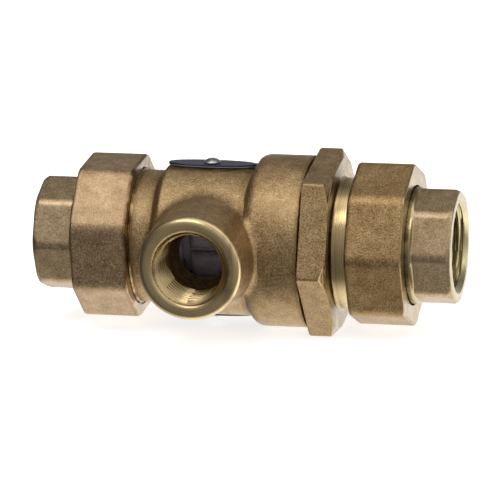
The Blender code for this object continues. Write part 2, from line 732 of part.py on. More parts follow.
def check_spring(name, face_x):
    """Compression spring from the holder's back to the cage's spider."""
    start = holder_floor(face_x) + HOLDER_BACK + GAP + SPRING_WIRE
    end = face_x + CAGE_DEPTH - CAGE_END - GAP - SPRING_WIRE
    steps_per_turn = 10
    count = SPRING_TURNS * steps_per_turn
    curve = bpy.data.curves.new(name, "CURVE")
    curve.dimensions = "3D"
    curve.bevel_depth = SPRING_WIRE
    curve.bevel_resolution = 1
    curve.use_fill_caps = True
    spline = curve.splines.new("POLY")
    spline.points.add(count)
    for step in range(count + 1):
        angle = 2 * math.pi * step / steps_per_turn
        x = start + (end - start) * step / count
        spline.points[step].co = (x, SPRING_RADIUS * math.sin(angle), SPRING_RADIUS * math.cos(angle), 1)
    curve.materials.append(stainless())
    spring = bpy.data.objects.new(name, curve)
    bpy.context.scene.collection.objects.link(spring)
    return spring


def check_module(prefix, face_x, ring_x):
    check_cage(prefix + "_cage", face_x, ring_x)
    disc_holder(prefix + "_disc_holder", face_x)
    check_disc(prefix + "_disc", face_x)
    disc_screw(prefix + "_disc_screw", face_x)
    check_spring(prefix + "_spring", face_x)


def vent_seat_sleeve():
    """Sleeve between the checks: clamp ring, slotted web, vent seat lip, tube and sealed flange."""
    tube = SLEEVE_BORE + SLEEVE_WALL
    lip_x = DIAPHRAGM_X + DIAPHRAGM + TRAVEL_SPACE + GAP
    web_x = SLEEVE_X + SLEEVE_CLAMP - SLEEVE_WEB_LAP
    web_end = web_x + SLEEVE_WEB
    flange_x = SLEEVE_END - SLEEVE_FLANGE
    groove = flange_x + (SLEEVE_FLANGE - ORING_GROOVE) / 2
    sleeve = turned("vent_seat_sleeve", [
        (lip_x, SLEEVE_BORE),
        (lip_x, SLEEVE_BORE + SLEEVE_LIP),
        (web_x, tube),
        (web_x, SLEEVE_CLAMP_BORE),
        (SLEEVE_X, SLEEVE_CLAMP_BORE),
        (SLEEVE_X, SLEEVE_RADIUS),
        (SLEEVE_X + SLEEVE_CLAMP, SLEEVE_RADIUS),
        (web_end, SLEEVE_RADIUS - SLEEVE_WEB_STEP),
        (web_end, tube),
        (flange_x, tube),
        (flange_x, SLEEVE_RADIUS),
        (groove, SLEEVE_RADIUS),
        (groove, ORING_GROOVE_FLOOR),
        (groove + ORING_GROOVE, ORING_GROOVE_FLOOR),
        (groove + ORING_GROOVE, SLEEVE_RADIUS),
        (SLEEVE_END, SLEEVE_RADIUS),
        (SLEEVE_END, SLEEVE_BORE),
    ], grey_acetal())
    return slots(sleeve, SLEEVE_SLOTS, SLEEVE_OPEN, tube + SLOT_CLEARANCE, SLEEVE_CLAMP_BORE - SLOT_CLEARANCE,
                 web_x - OVERSHOOT, web_end + OVERSHOOT)


def vent_sleeve_oring():
    centre_x = SLEEVE_END - SLEEVE_FLANGE / 2
    return oring("vent_sleeve_oring", centre_x, ORING_GROOVE_FLOOR + GAP, ORING_WIRE)


def second_check_oring():
    centre_x = SEAT_X + SECOND_SEAT_FLANGE / 2
    return oring("second_check_oring", centre_x, ORING_GROOVE_FLOOR + GAP, ORING_WIRE)


def plate_underside():
    return PLATE_FLAT_HEIGHT + GAP


def oval(angle, half_length, half_width):
    """Point on the plate's rounded outline."""
    power = 2 / PLATE_ROUNDNESS
    along = math.copysign(abs(math.cos(angle)) ** power, math.cos(angle))
    across = math.copysign(abs(math.sin(angle)) ** power, math.sin(angle))
    return half_length * along, half_width * across


def id_plate(name, side):
    """Thin oval plate with a hole for its rivet."""
    mesh = bmesh.new()
    low = plate_underside()
    levels = ((low, True), (low, False), (low + PLATE, False), (low + PLATE, True))
    rings = []
    for height, is_hole in levels:
        ring = []
        for step in range(SMALL_SIDES):
            angle = 2 * math.pi * step / SMALL_SIDES
            x, y = oval(angle, PLATE_LENGTH / 2, PLATE_WIDTH / 2)
            if is_hole:
                x, y = PLATE_HOLE * math.cos(angle), PLATE_HOLE * math.sin(angle)
            ring.append(mesh.verts.new((PLATE_X + x, y, side * height)))
        rings.append(ring)
    for ring, following in zip(rings, rings[1:] + rings[:1]):
        for step in range(SMALL_SIDES):
            after = (step + 1) % SMALL_SIDES
            mesh.faces.new((ring[step], ring[after], following[after], following[step]))
    return new_object(name, mesh, navy_plate())


def id_rivet(name, side):
    """Domed drive rivet through the plate into the body."""
    under_head = plate_underside() + PLATE + GAP
    sphere_radius = (RIVET_HEAD_RADIUS ** 2 + RIVET_HEAD ** 2) / (2 * RIVET_HEAD)
    centre = under_head + RIVET_HEAD - sphere_radius
    rim = math.degrees(math.asin(RIVET_HEAD_RADIUS / sphere_radius))
    dome = arc(centre, 0.0, sphere_radius, 0, rim, 4)
    dome[0] = (dome[0][0], 0.0)
    outline = [(under_head - RIVET_SHANK, 0.0)] + dome + [
        (under_head, RIVET_SHANK_RADIUS),
        (under_head - RIVET_SHANK, RIVET_SHANK_RADIUS),
    ]
    return upright(turned(name, outline, stainless(), SMALL_SIDES), PLATE_X, side)


def build():
    clear_scene()
    main_body()
    outlet_cap()
    cap_oring()
    union_nut("inlet_union_nut", INLET_NUT_TURN, mirror=False)
    union_nut("outlet_union_nut", OUTLET_NUT_TURN, mirror=True)
    tailpiece("inlet_tailpiece", INLET_TAIL_TURN, mirror=False)
    tailpiece("outlet_tailpiece", OUTLET_TAIL_TURN, mirror=True)
    union_gasket("inlet_union_gasket", mirror=False)
    union_gasket("outlet_union_gasket", mirror=True)
    strainer_screen()
    diaphragm()
    first_check_seat()
    check_module("first_check", HUB_FACE_X, SLEEVE_X)
    vent_seat_sleeve()
    vent_sleeve_oring()
    second_check_seat()
    second_check_oring()
    check_module("second_check", SEAT_FACE_X, SEAT_FACE_X + GAP)
    id_plate("top_id_plate", 1)
    id_plate("bottom_id_plate", -1)
    id_rivet("top_id_rivet", 1)
    id_rivet("bottom_id_rivet", -1)


build()
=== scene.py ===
"""Looks of an in-line dual check backflow preventer with an atmospheric vent.

Metres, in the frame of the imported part: X runs along the flow, Z is up, and the vent points to -Y.
"""
import math

import bmesh
import bpy
import numpy as np
from mathutils import Matrix, Vector
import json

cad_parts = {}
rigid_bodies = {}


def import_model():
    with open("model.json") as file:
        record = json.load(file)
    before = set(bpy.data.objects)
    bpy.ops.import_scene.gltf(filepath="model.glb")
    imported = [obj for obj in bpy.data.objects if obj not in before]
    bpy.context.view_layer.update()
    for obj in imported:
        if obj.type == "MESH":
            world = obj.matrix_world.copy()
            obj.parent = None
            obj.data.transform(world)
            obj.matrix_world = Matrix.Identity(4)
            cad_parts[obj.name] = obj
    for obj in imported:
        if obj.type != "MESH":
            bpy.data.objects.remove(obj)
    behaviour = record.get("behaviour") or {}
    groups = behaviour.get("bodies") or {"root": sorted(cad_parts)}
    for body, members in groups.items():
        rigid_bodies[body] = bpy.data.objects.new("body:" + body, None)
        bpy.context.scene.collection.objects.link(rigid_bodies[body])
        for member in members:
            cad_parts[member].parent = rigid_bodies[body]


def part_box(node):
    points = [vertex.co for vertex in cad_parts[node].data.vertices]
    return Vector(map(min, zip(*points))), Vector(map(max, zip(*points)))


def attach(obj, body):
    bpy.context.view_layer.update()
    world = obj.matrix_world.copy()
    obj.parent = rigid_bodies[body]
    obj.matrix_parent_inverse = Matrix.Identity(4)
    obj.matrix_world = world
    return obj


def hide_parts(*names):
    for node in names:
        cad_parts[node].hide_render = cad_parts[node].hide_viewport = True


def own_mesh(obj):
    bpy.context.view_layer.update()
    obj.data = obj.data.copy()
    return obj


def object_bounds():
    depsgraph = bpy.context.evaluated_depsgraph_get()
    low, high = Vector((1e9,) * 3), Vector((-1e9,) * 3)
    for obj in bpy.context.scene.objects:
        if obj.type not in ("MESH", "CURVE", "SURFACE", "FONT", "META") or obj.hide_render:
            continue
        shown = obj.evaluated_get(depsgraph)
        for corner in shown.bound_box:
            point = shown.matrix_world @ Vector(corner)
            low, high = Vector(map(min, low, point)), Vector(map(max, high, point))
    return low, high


for item in list(bpy.data.objects):
    bpy.data.objects.remove(item, do_unlink=True)
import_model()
cad_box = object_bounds()


# ---- Main body: one bronze sand casting, shot blasted, with its faces, threads and bores turned
# afterwards. Union thread and neck at the inlet, waist with the vent boss on its front, barrel with
# the cap's thread at the outlet. It has flats above and below for the identification plates.

INCH = 0.0254
UNION_PITCH = INCH / 14
CAP_PITCH = INCH / 16
PIPE_PITCH = INCH / 14
THREAD_DEPTH = 0.0009
ROWS_PER_PITCH = 8
CORNER_STEPS = 4                         # on a rounded corner of an outline
SHARP_ANGLE = math.radians(42)           # edges sharper than this stay sharp

UNION_ROOT = 0.0193
UNION_THREAD_LENGTH = 0.0085
NECK_RADIUS = 0.0198
FLARE_START = 0.0370
WAIST_START = 0.0392
WAIST_RADIUS = 0.0228
BARREL_START = 0.0652
BARREL_SHOULDER = 0.0040
PLATE_FLAT_HEIGHT = 0.0220
STRAINER_SEAT_RADIUS = 0.0150
STRAINER_SEAT_DEPTH = 0.0015
INLET_BORE = 0.0130
CHAMBER_START = 0.0334
CHAMBER_RADIUS = 0.0165
CLAMP_FACE = 0.0400
BODY_BORE = 0.0196
CAP_THREAD_ROOT = 0.0213
CAP_THREAD_START = 0.0705
ORING_SEAT_RADIUS = 0.0242
ORING_SEAT_DEPTH = 0.0019

VENT_SHIFT = 0.0012                      # towards the outlet from the waist's middle
VENT_ROOT_RADIUS = 0.0165
VENT_RADIUS = 0.0155
VENT_FILLET = 0.0024
VENT_OUTER_ROUND = 0.0021
VENT_INNER_ROUND = 0.0018
VENT_MOUTH_RADIUS = 0.01165
VENT_THREAD_RADIUS = 0.0092
VENT_THREAD_DEPTH = 0.0143
VENT_PORT_RADIUS = 0.0076
VENT_PORT_END = 0.0036                   # past the thread's end
VENT_RUN_OUT = 0.0012                    # over which the thread fades at its inner end
VENT_ROUND_STEPS = 8
VENT_WALL_STEPS = 12                     # up the boss from its fillet
PIPE_TAPER = 1 / 32                      # of the radius, along the thread

BODY_COLUMNS = 224
PATCH_HALF_ANGLE = math.radians(61.5)    # the part of the waist that is laid out round the boss
PATCH_START = 0.0335
PATCH_END = 0.0710
PATCH_RINGS = 26
PATCH_CROWD = 1.4                        # above 1, rings crowd towards the boss
BORE_STEP = 0.0010
EDGE_BREAK = 0.0001
SHOULDER_STEPS = 6

body_low, body_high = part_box("main_body")
inlet_face = body_low.x
body_end = body_high.x
barrel_radius = body_high.z
vent_face = -body_low.y
vent_x = (WAIST_START + BARREL_START) / 2 + VENT_SHIFT


def smooth_min(first, second, width):
    """The smaller of two values, rounded over where they are closer than width."""
    overlap = np.maximum(width - np.abs(first - second), 0.0) / width
    return np.minimum(first, second) - overlap * overlap * width / 4


def thread_wave(x, angle, pitch):
    """Height of a right-hand V thread at places along and round its axis, from 0 at the root to 1."""
    turns = x / pitch - angle / (2 * math.pi)
    saw = np.abs((turns % 1.0) * 2 - 1)
    # stretched and cut off at both ends, so that crest and root are flat
    return np.clip(saw * 1.25 - 0.125, 0.0, 1.0)


def rounded(corners):
    """Points of (x, radius) along an outline whose corners (x, radius, fillet, spacing) are rounded.

    spacing is the longest step on the straight run that follows the corner.
    """
    places = [np.array(corner[:2]) for corner in corners]
    points = []
    for number, (corner, place) in enumerate(zip(corners, places)):
        before = places[number - 1]
        after = places[(number + 1) % len(places)]
        to_before = (before - place) / np.linalg.norm(before - place)
        to_after = (after - place) / np.linalg.norm(after - place)
        fillet = corner[2]
        if fillet:
            half = math.acos(np.clip(to_before @ to_after, -1, 1)) / 2
            reach = min(fillet / math.tan(half),
                        0.45 * np.linalg.norm(before - place), 0.45 * np.linalg.norm(after - place))
            begin, end = place + to_before * reach, place + to_after * reach
            curve = [(1 - t) ** 2 * begin + 2 * t * (1 - t) * place + t * t * end
                     for t in np.linspace(0, 1, CORNER_STEPS + 1)]
        else:
            curve = [place]
        if points:
            points += straight(points[-1], curve[0], corners[number - 1][3])
        points += curve
    points += straight(points[-1], points[0], corners[-1][3])
    return np.array(points)


def straight(begin, end, spacing):
    """Points strictly between two others, no further apart than spacing."""
    count = int(math.ceil(np.linalg.norm(end - begin) / spacing - 1e-6))
    return [begin + (end - begin) * step / count for step in range(1, count)]


def new_object(name, data):
    """A new object in the scene that shows the data."""
    item = bpy.data.objects.new(name, data)
    bpy.context.scene.collection.objects.link(item)
    return item


def smooth_shaded(data):
    """Smooth shading on a mesh, up to its sharp edges."""
    data.shade_smooth()
    data.set_sharp_from_angle(angle=SHARP_ANGLE)


def new_shape(name, points, faces):
    """A smooth mesh object from an array of points and index faces."""
    faces = [face for face in faces if len(set(face)) > 2]
    used = np.unique(np.concatenate([np.array(face) for face in faces]))
    place = np.full(len(points), -1)
    place[used] = np.arange(len(used))
    data = bpy.data.meshes.new(name)
    data.from_pydata(np.asarray(points)[used].tolist(), [], [[int(place[i]) for i in f] for f in faces])
    work = bmesh.new()
    work.from_mesh(data)
    bmesh.ops.remove_doubles(work, verts=work.verts, dist=1e-7)
    bmesh.ops.recalc_face_normals(work, faces=work.faces)
    work.to_mesh(data)
    work.free()
    smooth_shaded(data)
    return new_object(name, data)


def stands_for(piece, node, body, material):
    """Finishes a piece that is seen in place of a CAD node."""
    x, radius, y, z = coordinates(piece)
    if "lathe" not in piece.data.attributes:
        paint(piece, "lathe", x + radius)
    if not piece.data.materials:
        piece.data.materials.append(material)
    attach(piece, body)
    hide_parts(node)


def coordinates(piece):
    """Arrays of x, radius about X, y and z of a piece's points."""
    place = np.empty(len(piece.data.vertices) * 3)
    piece.data.vertices.foreach_get("co", place)
    x, y, z = place.reshape(-1, 3).T
    return x, np.hypot(y, z), y, z


def paint(piece, name, values):
    """Stores one number for each point of a piece, for its material to read."""
    attribute = piece.data.attributes.new(name, "FLOAT", "POINT")
    attribute.data.foreach_set("value", np.clip(values, 0, 1).astype(np.float32))


def stored(piece, name):
    """The numbers that paint() stored."""
    values = np.empty(len(piece.data.vertices), np.float32)
    piece.data.attributes[name].data.foreach_get("value", values)
    return values


def band(values, start, end, soft):
    """1 between start and end, falling to 0 over soft outside them."""
    rise = np.clip((values - start) / soft + 1, 0, 1)
    fall = np.clip((end - values) / soft + 1, 0, 1)
    return rise * fall


def skin(x, radius, angles):
    """Points on rows of (x, radius) at every angle about X, from +Z towards the vent."""
    x, radius, angles = np.broadcast_arrays(x, radius, angles)
    return np.stack([x, -radius * np.sin(angles), radius * np.cos(angles)], axis=-1)


def grid_faces(rows, columns, closed_rows=True, skip=None):
    """Quads between neighbouring rows and columns; columns always join up into a ring."""
    faces = []
    for row in range(rows if closed_rows else rows - 1):
        for column in range(columns):
            if skip and skip(row, column):
                continue
            below, beside = (row + 1) % rows, (column + 1) % columns
            faces.append((row * columns + column, row * columns + beside,
                          below * columns + beside, below * columns + column))
    return faces


def body_outline():
    """The outside from the inlet's seat to the outlet's O-ring seat."""
    pitch_step = UNION_PITCH / ROWS_PER_PITCH
    crest = UNION_ROOT + THREAD_DEPTH
    thread_end = inlet_face + UNION_THREAD_LENGTH
    shoulder = barrel_radius - BARREL_SHOULDER
    start = math.asin((WAIST_RADIUS - shoulder) / BARREL_SHOULDER)
    corners = [
        (inlet_face, STRAINER_SEAT_RADIUS, EDGE_BREAK, 0.0015),
        (inlet_face, UNION_ROOT - EDGE_BREAK, EDGE_BREAK, 0.0003),
        (inlet_face + THREAD_DEPTH, crest, 0, pitch_step),
        (thread_end, crest, 0.0002, 0.0002),
        (thread_end + 0.0004, NECK_RADIUS, 0.0002, 0.0007),
        (FLARE_START, NECK_RADIUS, 0.0012, 0.0006),
        (WAIST_START, WAIST_RADIUS, 0.0013, 0.0009),
        (BARREL_START - 0.0004, WAIST_RADIUS, 0.0008, 0.0005),
    ]
    for step in range(SHOULDER_STEPS + 1):
        angle = start + (math.pi / 2 - start) * step / SHOULDER_STEPS
        corners.append((BARREL_START + BARREL_SHOULDER * (1 - math.cos(angle)),
                        shoulder + BARREL_SHOULDER * math.sin(angle), 0, 0.0009))
    corners += [
        (body_end, barrel_radius, 0.0004, 0.0008),
        (body_end, ORING_SEAT_RADIUS, EDGE_BREAK, 0.0006),
    ]
    return corners


def bore_outline(patch_steps):
    """The inside from the O-ring seat back to the inlet; the run behind the vent has set steps."""
    pitch_step = CAP_PITCH / ROWS_PER_PITCH
    bore_patch = (CAP_THREAD_START - 0.0060, CLAMP_FACE + 0.0015)
    return [
        (body_end - ORING_SEAT_DEPTH, ORING_SEAT_RADIUS, EDGE_BREAK, BORE_STEP),
        (body_end - ORING_SEAT_DEPTH, CAP_THREAD_ROOT + THREAD_DEPTH, 0, pitch_step),
        (CAP_THREAD_START, CAP_THREAD_ROOT + THREAD_DEPTH, 0, BORE_STEP),
        (CAP_THREAD_START, BODY_BORE, 0, BORE_STEP),
        (bore_patch[0], BODY_BORE, 0, (bore_patch[0] - bore_patch[1]) / patch_steps),
        (bore_patch[1], BODY_BORE, 0, BORE_STEP),
        (CLAMP_FACE, BODY_BORE, 0, BORE_STEP),
        (CLAMP_FACE, CHAMBER_RADIUS, 0.0002, BORE_STEP),
        (CHAMBER_START, CHAMBER_RADIUS, 0.0002, BORE_STEP),
        (CHAMBER_START - 0.0010, INLET_BORE, 0.0002, BORE_STEP),
        (inlet_face + STRAINER_SEAT_DEPTH, INLET_BORE, EDGE_BREAK, BORE_STEP),
        (inlet_face + STRAINER_SEAT_DEPTH, STRAINER_SEAT_RADIUS, 0, BORE_STEP),
    ]


def open_run(corners):
    """An outline's points without the run that would close it."""
    points = rounded(corners)
    last = np.array(corners[-1][:2])
    end = int(np.argmin(np.linalg.norm(points - last, axis=1)))
    return points[:end + 1]


def body_radius(x, radius, angles):
    """Cuts the threads and the plates' flats into the turned outline."""
    crest = UNION_ROOT + THREAD_DEPTH
    in_union = band(x, inlet_face, inlet_face + UNION_THREAD_LENGTH - 0.0006, 0.0004)
    union = UNION_ROOT + THREAD_DEPTH * thread_wave(x, angles, UNION_PITCH)
    radius = np.where((radius > NECK_RADIUS) & (x < FLARE_START),
                      np.minimum(radius, crest + (union - crest) * in_union), radius)
    bore = CAP_THREAD_ROOT + 0.0002 + THREAD_DEPTH * thread_wave(x, angles, CAP_PITCH)
    is_bore = (np.abs(radius - CAP_THREAD_ROOT - THREAD_DEPTH) < 1e-5) & (x > CAP_THREAD_START - 1e-6)
    radius = np.where(is_bore, bore, radius)
    level = PLATE_FLAT_HEIGHT / np.maximum(np.abs(np.cos(angles)), 0.05)
    has_flat = (x > FLARE_START) & (x < BARREL_START + 0.0012) & (radius > BODY_BORE + 0.0005)
    return np.where(has_flat, smooth_min(radius, level, 0.0004), radius)


def patch_rings(boundary, centre_x, inner_radius, height, fillet=0.0):
    """Rings of points from a rectangle on the waist or bore to a circle round the vent's axis."""
    along, up = boundary[:, 0] - centre_x, boundary[:, 2]
    reach = np.hypot(along, up)
    rings = []
    for ring in range(1, PATCH_RINGS + 1):
        share = ring / PATCH_RINGS
        distance = inner_radius + (reach - inner_radius) * (1 - share) ** PATCH_CROWD
        x, z = centre_x + along / reach * distance, up / reach * distance
        rise = 0.0
        if fillet:
            inside = np.clip(fillet - (distance - inner_radius), 0, fillet)
            rise = fillet - np.sqrt(fillet ** 2 - inside ** 2)
        rings.append(np.stack([x, -(height(x, z) + rise), z], axis=-1))
    return rings


def main_body():
    """The casting: a turned skin, with the vent's rings let into the waist and into the bore."""
    outside = open_run(body_outline())
    patch_rows = (int(np.argmin(np.abs(outside[:, 0] - PATCH_START))),
                  int(np.argmin(np.abs(outside[:, 0] - PATCH_END) + (outside[:, 1] < WAIST_RADIUS))))
    steps = patch_rows[1] - patch_rows[0]
    inside = open_run(bore_outline(steps))
    outline = np.concatenate([outside, inside])
    rows, columns = len(outline), BODY_COLUMNS
    angles = np.arange(columns) * 2 * math.pi / columns
    x, radius = outline[:, :1], outline[:, 1:]
    points = skin(x, body_radius(x, radius, angles[None, :]), angles).reshape(-1, 3)
    first = round((math.pi / 2 - PATCH_HALF_ANGLE) / (2 * math.pi) * columns)
    last = columns // 2 - first
    bore_start = len(outside) + int(np.argmax((inside[:, 0] < CAP_THREAD_START - 0.0059)
                                              & (inside[:, 1] < BODY_BORE + 1e-6)))
    patches = ((patch_rows[0], patch_rows[1]), (bore_start, bore_start + steps))

    def in_patch(row, column):
        """Whether a face is left out for the vent's rings."""
        return first <= column < last and any(low <= row < high for low, high in patches)

    faces = grid_faces(rows, columns, skip=in_patch)

    def rectangle(low, high):
        """Point numbers round a patch."""
        edge = [(low, column) for column in range(first, last)]
        edge += [(row, last) for row in range(low, high)]
        edge += [(high, column) for column in range(last, first, -1)]
        edge += [(row, first) for row in range(high, low, -1)]
        return [row * columns + column for row, column in edge]

    def waist_height(x, z):
        """How far the waist stands out towards the vent."""
        radius = np.interp(x, outside[patch_rows[0]:patch_rows[1] + 1, 0],
                           outside[patch_rows[0]:patch_rows[1] + 1, 1])
        return np.sqrt(np.maximum(radius ** 2 - z ** 2, 1e-8))

    def bore_height(x, z):
        """The same for the bore."""
        return np.sqrt(BODY_BORE ** 2 - z ** 2)

    outer_edge = rectangle(*patches[0])
    rings = patch_rings(points[outer_edge], vent_x, VENT_ROOT_RADIUS, waist_height, VENT_FILLET)
    root = rings[-1]
    angle = np.arctan2(root[:, 2], root[:, 0] - vent_x)
    for y, radius in vent_profile():
        circle = np.stack([vent_x + radius * np.cos(angle), np.full_like(angle, -y),
                           radius * np.sin(angle)], axis=-1)
        rings.append(circle)
    wall_top = rings[PATCH_RINGS]
    wall = [root + (wall_top - root) * share for share in np.linspace(0, 1, VENT_WALL_STEPS)[1:-1]]
    rings[PATCH_RINGS:PATCH_RINGS] = wall
    for number in range(len(rings)):
        depth = -rings[number][:, 1]
        from_face = vent_face - depth
        past_round = number > PATCH_RINGS + len(wall) + VENT_ROUND_STEPS
        in_thread = past_round & (from_face > 0.0019) & (from_face < VENT_THREAD_DEPTH)
        across = np.hypot(rings[number][:, 0] - vent_x, rings[number][:, 2])
        fade = np.clip((VENT_THREAD_DEPTH - from_face) / VENT_RUN_OUT, 0, 1)
        cut = THREAD_DEPTH * thread_wave(depth, -angle, PIPE_PITCH) * fade
        grown = np.where(in_thread, across + cut, across)
        rings[number] = np.stack([vent_x + grown * np.cos(angle), rings[number][:, 1],
                                  grown * np.sin(angle)], axis=-1)
    inner_edge = rectangle(*patches[1])
    # the bore runs the other way along X, so its rectangle is turned to start at the same corner
    count = len(outer_edge)
    start_angle = np.arctan2(points[outer_edge[0], 2], points[outer_edge[0], 0] - vent_x)
    inner_points = points[inner_edge]
    inner_angle = np.arctan2(inner_points[:, 2], inner_points[:, 0] - vent_x)
    nearest = int(np.argmin(np.abs((inner_angle - start_angle + math.pi) % (2 * math.pi) - math.pi)))
    order = [inner_edge[(nearest - step) % count] for step in range(count)]
    inner_rings = patch_rings(points[order], vent_x, VENT_PORT_RADIUS, bore_height)
    rings += inner_rings[::-1]
    base = len(points)
    points = np.concatenate([points] + rings)
    previous = outer_edge
    for number in range(len(rings) + 1):
        following = order if number == len(rings) else \
            [base + number * count + step for step in range(count)]
        for step in range(count):
            beside = (step + 1) % count
            faces.append((previous[step], previous[beside], following[beside], following[step]))
        previous = following
    return new_shape("body_casting", points, faces)


def vent_profile():
    """Points of (distance from the axis of the valve, radius) over the vent's rim and down its bore."""
    points = []
    for angle in np.linspace(0, math.pi / 2, VENT_ROUND_STEPS):
        points.append((vent_face - VENT_OUTER_ROUND * (1 - math.sin(angle)),
                       VENT_RADIUS - VENT_OUTER_ROUND * (1 - math.cos(angle))))
    for angle in np.linspace(0, math.pi / 2 * 0.8, 6):
        points.append((vent_face - VENT_INNER_ROUND * (1 - math.cos(angle)),
                       VENT_MOUTH_RADIUS + 0.0006 - VENT_INNER_ROUND * math.sin(angle) * 0.9))
    thread_start = vent_face - 0.0020
    thread_end = vent_face - VENT_THREAD_DEPTH
    for depth in np.arange(thread_start, thread_end, -PIPE_PITCH / ROWS_PER_PITCH):
        taper = (depth - thread_end) * PIPE_TAPER
        points.append((depth, VENT_THREAD_RADIUS + taper))
    points.append((thread_end - 0.0003, VENT_THREAD_RADIUS))
    points.append((thread_end - 0.0016, (VENT_THREAD_RADIUS + VENT_PORT_RADIUS) / 2 + 0.0002))
    points.append((thread_end - 0.0030, VENT_PORT_RADIUS))
    points.append((thread_end - VENT_PORT_END, VENT_PORT_RADIUS))
    return points


def linear(hex_code):
    """An sRGB hex colour as linear RGBA."""
    parts = [int(hex_code[place:place + 2], 16) / 255 for place in (1, 3, 5)]
    return [*(c / 12.92 if c <= 0.04045 else ((c + 0.055) / 1.055) ** 2.4 for c in parts), 1.0]


def result_of(node):
    """The first output of a node that is in use."""
    return next(output for output in node.outputs if output.enabled)


def add_node(tree, kind, inputs=None, stops=(), **settings):
    """Adds a node with its settings; an input is a value, a socket, or the node it comes from."""
    node = tree.nodes.new(kind)
    for key, value in settings.items():
        setattr(node, key, value)
    for key, value in (inputs or {}).items():
        if isinstance(value, bpy.types.Node):
            value = result_of(value)
        if isinstance(value, bpy.types.NodeSocket):
            tree.links.new(value, node.inputs[key])
        else:
            node.inputs[key].default_value = value
    for number, (place, colour) in enumerate(stops):
        elements = node.color_ramp.elements
        element = elements[number] if number < 2 else elements.new(place)
        element.position = place
        element.color = linear(colour)
    return node


def new_material(name, **constants):
    """A material with its shader's unlinked sockets set, its tree, its shader and Object places."""
    material = bpy.data.materials.new(name)
    material.use_nodes = True
    tree = material.node_tree
    shader = tree.nodes["Principled BSDF"]
    for socket, value in constants.items():
        shader.inputs[socket.replace("_", " ")].default_value = value
    return material, tree, shader, add_node(tree, "ShaderNodeTexCoord").outputs["Object"]


def connect(tree, shader, base, roughness, bump):
    """Links the last nodes of a material to its shader."""
    for socket, node in (("Base Color", base), ("Roughness", roughness), ("Normal", bump)):
        tree.links.new(result_of(node), shader.inputs[socket])


LUMP_SIZE = 0.0032
CLOUD_SIZE = 0.0120
LATHE_RING_SIZE = 0.00024
PIT_SPACING = 0.0021
CUT_ROUGHNESS = (0.16, 0.34)


def cast_and_cut(name, cast, cut, stain_and_shade="#5a3817", grain=0.00045, cast_rough=(0.34, 0.62),
                 relief=0.00015):
    """Metal that is rough from its mould, and finely ringed where turned says so.

    cast and cut are colours from dark to light, and grain is the size of the sand's marks. The
    rings follow lathe, each point's place along and out from the axis it was turned about.
    """
    material, tree, shader, place = new_material(name, Metallic=1.0)
    grains, lumps, clouds = [
        add_node(tree, "ShaderNodeTexNoise", {"Vector": place, "Scale": 1 / size, "Detail": detail,
                                              "Roughness": 0.62})
        for size, detail in ((grain, 3.0), (LUMP_SIZE, 3.0), (CLOUD_SIZE, 4.0))]
    turned, stain_and_shade_level, highlight_share, lathe = [
        add_node(tree, "ShaderNodeAttribute", attribute_name=attribute).outputs["Fac"]
        for attribute in ("turned", "stain_and_shade", "painted_highlight", "lathe")]
    rings = add_node(tree, "ShaderNodeTexNoise", {"W": lathe, "Scale": 1 / LATHE_RING_SIZE, "Detail": 2.0},
                     noise_dimensions="1D")
    mottle = add_node(tree, "ShaderNodeMix", {0: 0.5, 2: clouds, 3: lumps})
    tone = add_node(tree, "ShaderNodeMix", {0: 0.62, 2: mottle, 3: grains})
    base = add_node(tree, "ShaderNodeValToRGB", {0: tone}, zip((0.37, 0.50, 0.63), cast))
    pits = add_node(tree, "ShaderNodeTexVoronoi", {"Vector": place, "Scale": 1 / PIT_SPACING})
    holes = add_node(tree, "ShaderNodeValToRGB", {0: pits}, ((0.03, "#8b7558"), (0.11, "#ffffff")))
    base = add_node(tree, "ShaderNodeMix", {0: 1.0, 6: base, 7: holes}, data_type="RGBA",
                    blend_type="MULTIPLY")
    ringed = add_node(tree, "ShaderNodeMix", {0: 0.35, 2: rings, 3: clouds})
    bright = add_node(tree, "ShaderNodeValToRGB", {0: ringed}, zip((0.34, 0.62), cut))
    base = add_node(tree, "ShaderNodeMix", {0: turned, 6: base, 7: bright}, data_type="RGBA")
    # painted highlight: the light cut colour where the attribute says
    base = add_node(tree, "ShaderNodeMix", {0: highlight_share, 6: base, 7: linear(cut[1])}, data_type="RGBA")
    # the dark colour below marks real stains and painted shade alike
    patches = add_node(tree, "ShaderNodeMapRange", {0: lumps, 1: 0.35, 2: 0.62, 3: 0.35, 4: 1.25})
    runs = add_node(tree, "ShaderNodeMath", {0: stain_and_shade_level, 1: patches}, operation="MULTIPLY", use_clamp=True)
    base = add_node(tree, "ShaderNodeMix", {0: runs, 6: base, 7: linear(stain_and_shade)}, data_type="RGBA")
    blasted, smooth = [
        add_node(tree, "ShaderNodeMapRange", {0: marks, 1: 0.3, 2: 0.7, 3: least, 4: most})
        for marks, (least, most) in ((grains, cast_rough), (rings, CUT_ROUGHNESS))]
    roughness = add_node(tree, "ShaderNodeMix", {0: turned, 2: blasted, 3: smooth})
    faint = add_node(tree, "ShaderNodeMath", {0: rings, 1: 0.22}, operation="MULTIPLY")
    height = add_node(tree, "ShaderNodeMix", {0: turned, 2: grains, 3: faint})
    bump = add_node(tree, "ShaderNodeBump", {"Strength": 0.8, "Distance": relief, "Height": height})
    connect(tree, shader, base, roughness, bump)
    return material
